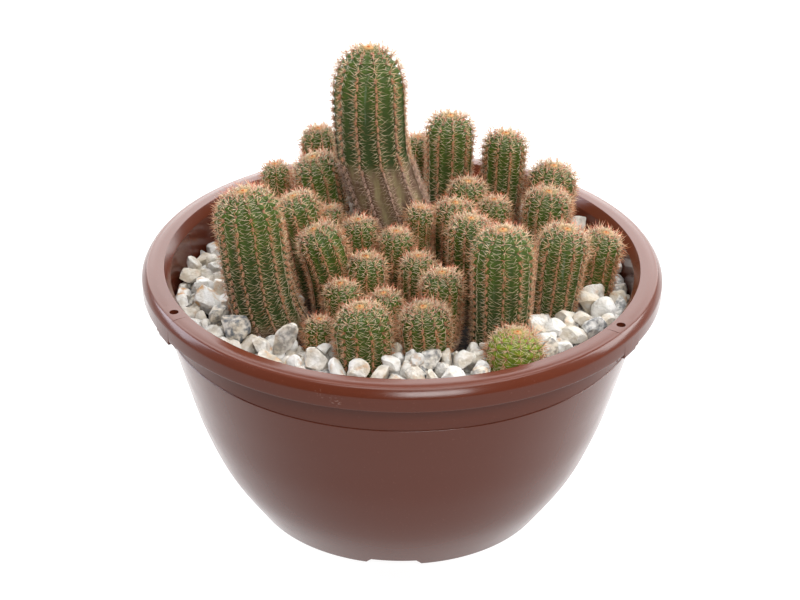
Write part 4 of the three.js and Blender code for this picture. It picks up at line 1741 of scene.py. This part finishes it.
    @staticmethod
    def blocker(stem: Stem, stems: list[Stem]) -> Callable[[np.ndarray], np.ndarray]:
        """Makes the test of which points lie inside another stem than this one.

        Args:
            stem: The stem that the points belong to.
            stems: All the stems.

        Returns:
            A function from points to true where a point is inside a neighbour.
        """
        beads = []
        for other in stems:
            gap = np.linalg.norm(other.line[::8, None, :2] - stem.line[None, ::8, :2], axis=-1).min()
            if other is not stem and gap < other.radius + stem.radius + 10:
                below = np.arange(0.3 * other.radius, other.length, 2.5)
                centre = np.stack([np.interp(below, other.reach, other.line[:, k]) for k in range(3)], -1)
                beads.append(np.concatenate([centre, other.width(below)[:, None]], axis=1))
        around = np.concatenate(beads) if beads else np.zeros((0, 4))

        def blocked(points: np.ndarray) -> np.ndarray:
            """Tests points against the neighbours.

            Args:
                points: The points.

            Returns:
                True for each point inside a neighbour.
            """
            inside = np.zeros(len(points), bool)
            for bead in around:
                inside |= ((points - bead[:3]) ** 2).sum(1) < (0.93 * bead[3]) ** 2
            return inside

        return blocked

    @staticmethod
    def spine() -> Shape:
        """Models one spine: a slim cone whose base is drawn down to a sunken root, slightly bowed.

        A real spine is round. With three sides it is coarser, which can't be seen at its size.

        Returns:
            Its points, a unit long along +Z from the origin, and its triangles.
        """
        deselect()
        high = STYLE.widest
        middle = (0, 0, (1 + high) / 2)
        bpy.ops.mesh.primitive_cone_add(
            vertices=3, radius1=1, radius2=0, depth=1 - high, end_fill_type="TRIFAN", location=middle
        )
        piece = settle(bpy.context.object, "spine")
        for vertex in piece.data.vertices:
            ring = abs(vertex.co.z - high) < 1e-4
            if ring and vertex.co.xy.length > 0.5:
                vertex.co.x += STYLE.bend
            elif ring:
                vertex.co = (0, 0, 0)
        return template(piece)

    def build(self, stems: list[Stem]) -> None:
        """Builds and dresses every stem.

        Args:
            stems: The stems, as they are laid out.
        """
        deselect()
        bpy.ops.mesh.primitive_uv_sphere_add(segments=5, ring_count=3, radius=1)
        pad = template(bpy.context.object)
        spine = self.spine()
        skin, felt, horn = self.skin.material(), self.felt.material(), self.horn.material()
        for stem in stems:
            stem.build_skin(skin)
            found = stem.areoles()
            stem.build_felt(found, pad, felt)
            stem.build_spines(found, spine, horn, self.blocker(stem, stems))


@dataclass
class Gravel:
    """The dressing of marble chips, dropped between the wall and the stems until they rest on each other.

    Bare is the patch under the crowded stems. A row of known holds the place of a stone that can be told
    apart in the photograph, its radius, how grey it is and how stained. A name with to is the distance that
    a stone keeps, as a share of its radius, and shard is the number of the one long stone that leans.
    """

    bowl: Bowl
    bed: float = 124.0
    count: int = 590
    least: float = 2.8
    most: float = 6.6
    kinds: int = 18
    faces: int = 230
    rounds: int = 260
    highest: float = 146.0
    swell: float = 1.02
    seed: int = 7
    bare: tuple[tuple[float, float], ...] = (
        (-80, -28),
        (-62, -60),
        (-44, -66),
        (-20, -80),
        (14, -76),
        (54, -76),
        (90, -18),
        (101, 58),
        (70, 88),
        (18, 104),
        (16, 80),
        (-26, 80),
        (-30, 142),
        (-46, 142),
        (-48, 121),
        (-64, 118),
        (-80, 70),
        (-48, 12),
    )
    known: tuple[tuple[float, ...], ...] = (
        (-92.8, -51.6, 134, 7.4, 1.0, 0.0),
        (-64.8, -70.4, 139, 6.6, 0.6, 0.2),
        (-58.1, -84.5, 132.5, 3.9, 0.0, 1.0),
        (5.3, -88.0, 136, 4.9, 0.6, 0.0),
        (11.5, -97.5, 133, 5.2, 1.0, 0.0),
        (112.0, 74.0, 142, 5.4, 0.3, 0.0),
        (33.5, -89.5, 138.5, 5.4, 0.1, 0.1),
        (23.5, -97.0, 135, 6.0, 0.5, 0.1),
        (42.0, -97.0, 135, 5.8, 0.2, 0.3),
        (-34.2, -98.0, 134, 6.8, 0.0, 0.5),
        (-47.0, -86.0, 135, 6.6, 0.3, 0.3),
        (-124.0, 24.0, 135.5, 5.0, 0.2, 0.2),
        (-124.5, 13.5, 134, 5.2, 0.1, 0.3),
        (-114.5, -4.1, 135, 6.4, 0.1, 0.6),
        (-109.7, -21.2, 135, 7.4, 0.1, 0.9),
        (-97.4, -21.9, 136, 6.6, 0.1, 0.5),
        (-104.2, -33.7, 133.5, 5.6, 0.8, 0.0),
        (-77.2, -68.0, 133, 5.2, 0.3, 0.2),
        (96.0, -58.0, 136, 6.4, 0.0, 0.1),
        (79.4, -66.2, 137, 5.0, 0.0, 0.2),
        (88.5, -71.0, 134.5, 5.8, 0.2, 0.0),
        (106.5, -22.4, 138, 6.4, 0.0, 0.2),
        (114.4, -34.1, 135.5, 8.2, 0.2, 0.0),
        (103.0, -43.0, 138, 5.4, 0.0, 0.4),
        (127.0, 30.0, 135, 5.4, 0.1, 0.1),
    )
    cuts: tuple[int, int] = (8, 13)
    cut_depths: tuple[float, float] = (0.48, 0.82)
    worn: float = 0.08
    pitted: float = 0.11
    uneven: tuple[float, float] = (0.76, 1.26)
    shard: int = 1
    shard_stretch: tuple[float, float, float] = (0.8, 0.55, 1.75)
    shard_turn: float = 0.6
    tones: tuple[float, ...] = (0.05, 0.3, 0.8)
    tone_shares: tuple[float, ...] = (0.6, 0.3, 0.1)
    stains: tuple[float, ...] = (0.0, 0.5, 1.0)
    stain_shares: tuple[float, ...] = (0.5, 0.35, 0.15)
    ring: tuple[float, float] = (60, 125)
    start: tuple[float, float] = (128, 190)
    post_heights: tuple[float, ...] = (126.0, 136.0)
    post_reach: float = 12.0
    fall: float = 0.9
    late_fall: float = 0.25
    look_round: int = 8
    neighbour: float = 2.4
    packing: float = 0.96
    shove: float = 0.45
    to_stem: float = 0.85
    to_wall: float = 0.95
    to_bed: float = 0.8
    out_of_bare: float = 0.4
    bare_edge: float = 3.0
    finish: TumbledMarble = TumbledMarble("tumbled_marble", 0.8, 1.5)

    def chip(self, rng: np.random.Generator) -> Shape:
        """Models one chip: a ball that is chipped flat on some sides, tumbled and roughened.

        Args:
            rng: The draws.

        Returns:
            Its points, with a mean radius of 1, and its triangles.
        """
        deselect()
        bpy.ops.mesh.primitive_ico_sphere_add(subdivisions=4, radius=1)
        piece = bpy.context.object
        bpy.ops.object.mode_set(mode="EDIT")
        for _ in range(int(rng.integers(*self.cuts))):
            way = Vector(rng.normal(size=3)).normalized()
            bpy.ops.mesh.select_all(action="SELECT")
            spot = way * float(rng.uniform(*self.cut_depths))
            bpy.ops.mesh.bisect(plane_co=spot, plane_no=way, use_fill=True, clear_outer=True)
        bpy.ops.object.mode_set(mode="OBJECT")
        apply_modifier(piece, "REMESH", mode="VOXEL", voxel_size=self.worn)
        apply_modifier(piece, "SMOOTH", factor=0.35, iterations=1)
        clouds = bpy.data.textures.new("chips", "CLOUDS")
        clouds.noise_scale = 0.4
        apply_modifier(piece, "DISPLACE", texture=clouds, strength=self.pitted, mid_level=0.5)
        triangles = sum(len(face.vertices) - 2 for face in piece.data.polygons)
        apply_modifier(piece, "DECIMATE", ratio=min(1.0, self.faces / triangles))
        points, faces = template(piece)
        points -= points.mean(0)
        points *= rng.uniform(*self.uneven, 3)
        return points / np.linalg.norm(points, axis=1).mean(), faces

    def into_bare(self, spots: np.ndarray) -> tuple[np.ndarray, np.ndarray]:
        """Tests which places lie under the crowded stems.

        Args:
            spots: The places.

        Returns:
            True for each place in that patch, and the way from each place to the patch's edge.
        """
        corners = np.array(self.bare, float)
        inside = np.zeros(len(spots), bool)
        best = np.full(len(spots), np.inf)
        push = np.zeros((len(spots), 2))
        for a, b in zip(corners, np.roll(corners, -1, axis=0)):
            crosses = (a[1] > spots[:, 1]) != (b[1] > spots[:, 1])
            rise = b[1] - a[1] or 1.0
            inside ^= crosses & (spots[:, 0] < a[0] + (spots[:, 1] - a[1]) / rise * (b[0] - a[0]))
            t = np.clip(((spots[:, :2] - a) @ (b - a)) / ((b - a) @ (b - a)), 0, 1)
            way = a + t[:, None] * (b - a) - spots[:, :2]
            away = np.linalg.norm(way, axis=1)
            push = np.where((away < best)[:, None], way, push)
            best = np.minimum(best, away)
        return inside, push

    def inside_wall(self, points: np.ndarray) -> np.ndarray:
        """Shifts a chip towards the bowl's axis until none of it is in the wall.

        Args:
            points: The chip's points.

        Returns:
            The shifted points.
        """
        heights = np.linspace(100, 170, 36)
        wall = np.interp(points[:, 2], heights, [self.bowl.inner_radius(z) for z in heights])
        over = (np.hypot(points[:, 0], points[:, 1]) - wall).max() + 0.3
        middle = points[:, :2].mean(0)
        shift = middle / np.linalg.norm(middle) * max(over, 0)
        return points - [*shift, 0]

    def posts(self, stems: list[Stem]) -> list[tuple[float, ...]]:
        """Measures the stems where they stand in the gravel's way.

        Args:
            stems: The stems.

        Returns:
            For each stem and height, the place of its axis, its width and the height.
        """
        found = []
        for stem in stems:
            for height in self.post_heights:
                below = float(np.interp(-height, -stem.line[:, 2], stem.reach))
                centre = [np.interp(below, stem.reach, stem.line[:, k]) for k in range(2)]
                found.append((*centre, float(stem.width(np.array([below]))[0]), height))
        return found

    def drop(self, stems: list[Stem], rng: np.random.Generator) -> tuple[np.ndarray, np.ndarray]:
        """Drops balls into the gap and lets them push each other apart until they lie still.

        Args:
            stems: The stems that stand in the way.
            rng: The draws.

        Returns:
            The balls' places and radii.
        """
        known = np.array(self.known)
        radius = self.least + (self.most - self.least) * rng.random(self.count) ** 1.25
        radius[: len(known)] = known[:, 3]
        turn = rng.uniform(0, 2 * np.pi, self.count)
        ring = np.sqrt(rng.uniform(self.ring[0] ** 2, self.ring[1] ** 2, self.count))
        high = rng.uniform(*self.start, self.count)
        spots = np.stack([ring * np.cos(turn), ring * np.sin(turn), high], -1)
        wall_heights = np.linspace(110, 160, 26)
        walls = np.array([self.bowl.inner_radius(z) for z in wall_heights])
        posts = self.posts(stems)
        for step in range(self.rounds):
            spots[:, 2] -= self.fall if step < self.rounds * 0.7 else self.late_fall
            if step % self.look_round == 0:
                gaps = np.linalg.norm(spots[:, None] - spots[None], axis=-1)
                one, two = np.nonzero(np.triu(gaps < self.neighbour * self.most, 1))
            for _ in range(2):
                apart = spots[one] - spots[two]
                away = np.linalg.norm(apart, axis=1) + 1e-6
                overlap = np.clip(self.packing * (radius[one] + radius[two]) - away, 0, None)
                push = self.shove * apart * (overlap / away)[:, None]
                np.add.at(spots, one, push)
                np.subtract.at(spots, two, push)
                for x, y, width, height in posts:
                    side = spots[:, :2] - [x, y]
                    gap = np.linalg.norm(side, axis=1)
                    need = width + self.to_stem * radius - gap
                    near = np.abs(spots[:, 2] - height) < self.post_reach
                    push = np.where((need > 0) & near, need, 0)
                    spots[:, :2] += side / gap[:, None] * push[:, None]
                inside, push = self.into_bare(spots)
                spots[inside, :2] += self.out_of_bare * push[inside]
                far = np.hypot(spots[:, 0], spots[:, 1])
                most = np.interp(spots[:, 2], wall_heights, walls) - self.to_wall * radius
                spots[:, :2] *= np.minimum(1, most / far)[:, None]
                spots[:, 2] = np.maximum(spots[:, 2], self.bed + self.to_bed * radius)
                spots[: len(known)] = known[:, :3]
        inside, push = self.into_bare(spots)
        near = np.linalg.norm(push, axis=1) < self.bare_edge
        kept = (~inside | near) & (spots[:, 2] + radius < self.highest)
        kept[: len(known)] = True
        return spots[kept], radius[kept]

    def build(self, stems: list[Stem]) -> None:
        """Builds and dresses the gravel.

        Args:
            stems: The stems that stand in it.
        """
        rng = np.random.default_rng(self.seed)
        kinds = [self.chip(rng) for _ in range(self.kinds)]
        spots, radius = self.drop(stems, rng)
        LOG.info("gravel lies from %.1f to %.1f mm", spots[:, 2].min(), (spots[:, 2] + radius).max())
        points, faces, looks = [], [], []
        start = 0
        for number, (spot, size) in enumerate(zip(spots, radius)):
            shape, triangles = kinds[int(rng.integers(self.kinds))]
            angle = rng.uniform(0, 2 * np.pi)
            turn = np.array(Matrix.Rotation(angle, 3, Vector(rng.normal(size=3)).normalized()))
            stretch = rng.uniform(0.9, 1.14, 3)
            if number == self.shard:
                stretch = np.array(self.shard_stretch)
                turn = np.array(Matrix.Rotation(self.shard_turn, 3, "Y"))
            placed = (shape * stretch * self.swell * size) @ turn.T + spot
            points.append(self.inside_wall(placed))
            faces.append(triangles + start)
            start += len(shape)
            tone = rng.choice(self.tones, p=self.tone_shares)
            stain = rng.choice(self.stains, p=self.stain_shares)
            if number < len(self.known):
                tone, stain = self.known[number][4:]
            looks.append(np.tile([tone, stain, rng.uniform(-0.3, 0.5)], (len(shape), 1)))
        piece = make_mesh("marble_gravel", np.concatenate(points), np.concatenate(faces))
        for name, values in zip(("tone", "stain", "cream"), np.concatenate(looks).T):
            give_trait(piece, name, values)
        shade(piece, 30)
        dress(piece, self.finish.material(), "white_gravel", "gravel")


@dataclass(frozen=True)
class Softbox:
    """A softbox that faces the plant: its place and size in metres, its power in watts and its tint."""

    name: str
    spot: tuple[float, float, float]
    size: tuple[float, float]
    power: float
    tint: str = "#ffffff"
    target: tuple[float, float, float] = (0, 0, 0.14)

    def build(self) -> None:
        """Places the softbox."""
        data = bpy.data.lights.new(self.name, "AREA")
        data.shape = "RECTANGLE"
        data.size, data.size_y = self.size
        data.energy = self.power
        data.color = colour(self.tint)[:3]
        light = bpy.data.objects.new(self.name, data)
        way = Vector(self.target) - Vector(self.spot)
        turn = way.to_track_quat("-Z", "Y").to_matrix().to_4x4()
        light.matrix_world = Matrix.Translation(Vector(self.spot)) @ turn
        bpy.context.scene.collection.objects.link(light)


@dataclass
class Studio:
    """A light table, softboxes and the camera of a product photograph.

    Elevation and roll are in degrees, distance and aim_height in millimetres, and the floor in metres.
    Off_axis_px is how far the photograph lies off the lens's axis, in pixels, and frame_px is its width.
    """

    elevation: float = 28.67
    roll: float = 0.58
    distance: float = 1171.0
    aim_height: float = 124.9
    lens: float = 90.0
    off_axis_px: tuple[float, float] = (1.9, 1.9)
    frame_px: float = 800.0
    floor_radius: float = 6.0
    floor_height: float = -0.0002
    sky_depths: tuple[float, float] = (-0.6, 0.6)
    sky_strengths: tuple[float, float] = (0.1, 0.6)
    table: LightTable = LightTable("light_table", 0.9)
    lights: tuple[Softbox, ...] = (
        Softbox("key", (0.27, -1.13, 0.95), (0.6, 0.4), 11),
        Softbox("top", (0.15, -0.1, 1.3), (1, 1), 14),
        Softbox("left", (-1.3, 0.45, 0.8), (0.8, 0.8), 17, "#eef2ff"),
        Softbox("right", (1.3, 0.35, 0.85), (0.8, 0.8), 18),
        Softbox("backdrop", (0, 1.7, 0.95), (3, 1.6), 50),
    )

    def camera(self) -> None:
        """Places the camera: it looks down on the bowl's axis from the front."""
        e, r = math.radians(self.elevation), math.radians(self.roll)
        forward = Vector((0, math.cos(e), -math.sin(e)))
        across, over = Vector((1, 0, 0)), Vector((0, math.sin(e), math.cos(e)))
        right = across * math.cos(r) + over * math.sin(r)
        top = over * math.cos(r) - across * math.sin(r)
        place = Vector((0, 0, self.aim_height)) - forward * self.distance
        data = bpy.data.cameras.new("camera")
        data.lens = self.lens
        data.shift_x = -self.off_axis_px[0] / self.frame_px
        data.shift_y = self.off_axis_px[1] / self.frame_px
        camera = bpy.data.objects.new("camera", data)
        turn = Matrix((right, top, -forward)).transposed().to_4x4()
        camera.matrix_world = Matrix.Translation(place * MM) @ turn
        bpy.context.scene.collection.objects.link(camera)
        bpy.context.scene.camera = camera

    def build(self) -> None:
        """Builds the studio, whose floor is a light table."""
        self.camera()
        scene = bpy.context.scene
        scene.view_settings.view_transform = "Standard"
        world = bpy.data.worlds.new("studio")
        scene.world = world
        world.use_nodes = True
        tree = world.node_tree
        sky = slope(tree, "Generated", self.sky_depths, self.sky_strengths)
        connect(tree, tree.nodes["Background"], {"Color": WHITE, "Strength": sky})
        for light in self.lights:
            light.build()
        deselect()
        place = (0, 0, self.floor_height)
        bpy.ops.mesh.primitive_circle_add(
            vertices=96, radius=self.floor_radius, fill_type="NGON", location=place
        )
        floor = settle(bpy.context.object, "floor")
        floor.data.materials.append(self.table.material())


def main() -> None:
    """Builds the studio, the bowl and what stands in it."""
    logging.basicConfig(level=logging.INFO, format="%(name)s %(message)s")
    Studio().build()
    bowl = Bowl()
    bowl.build()
    Soil(bowl).build()
    clump = Clump()
    stems = clump.stems()
    clump.build(stems)
    Gravel(bowl).build(stems)


if __name__ == "__main__":
    main()
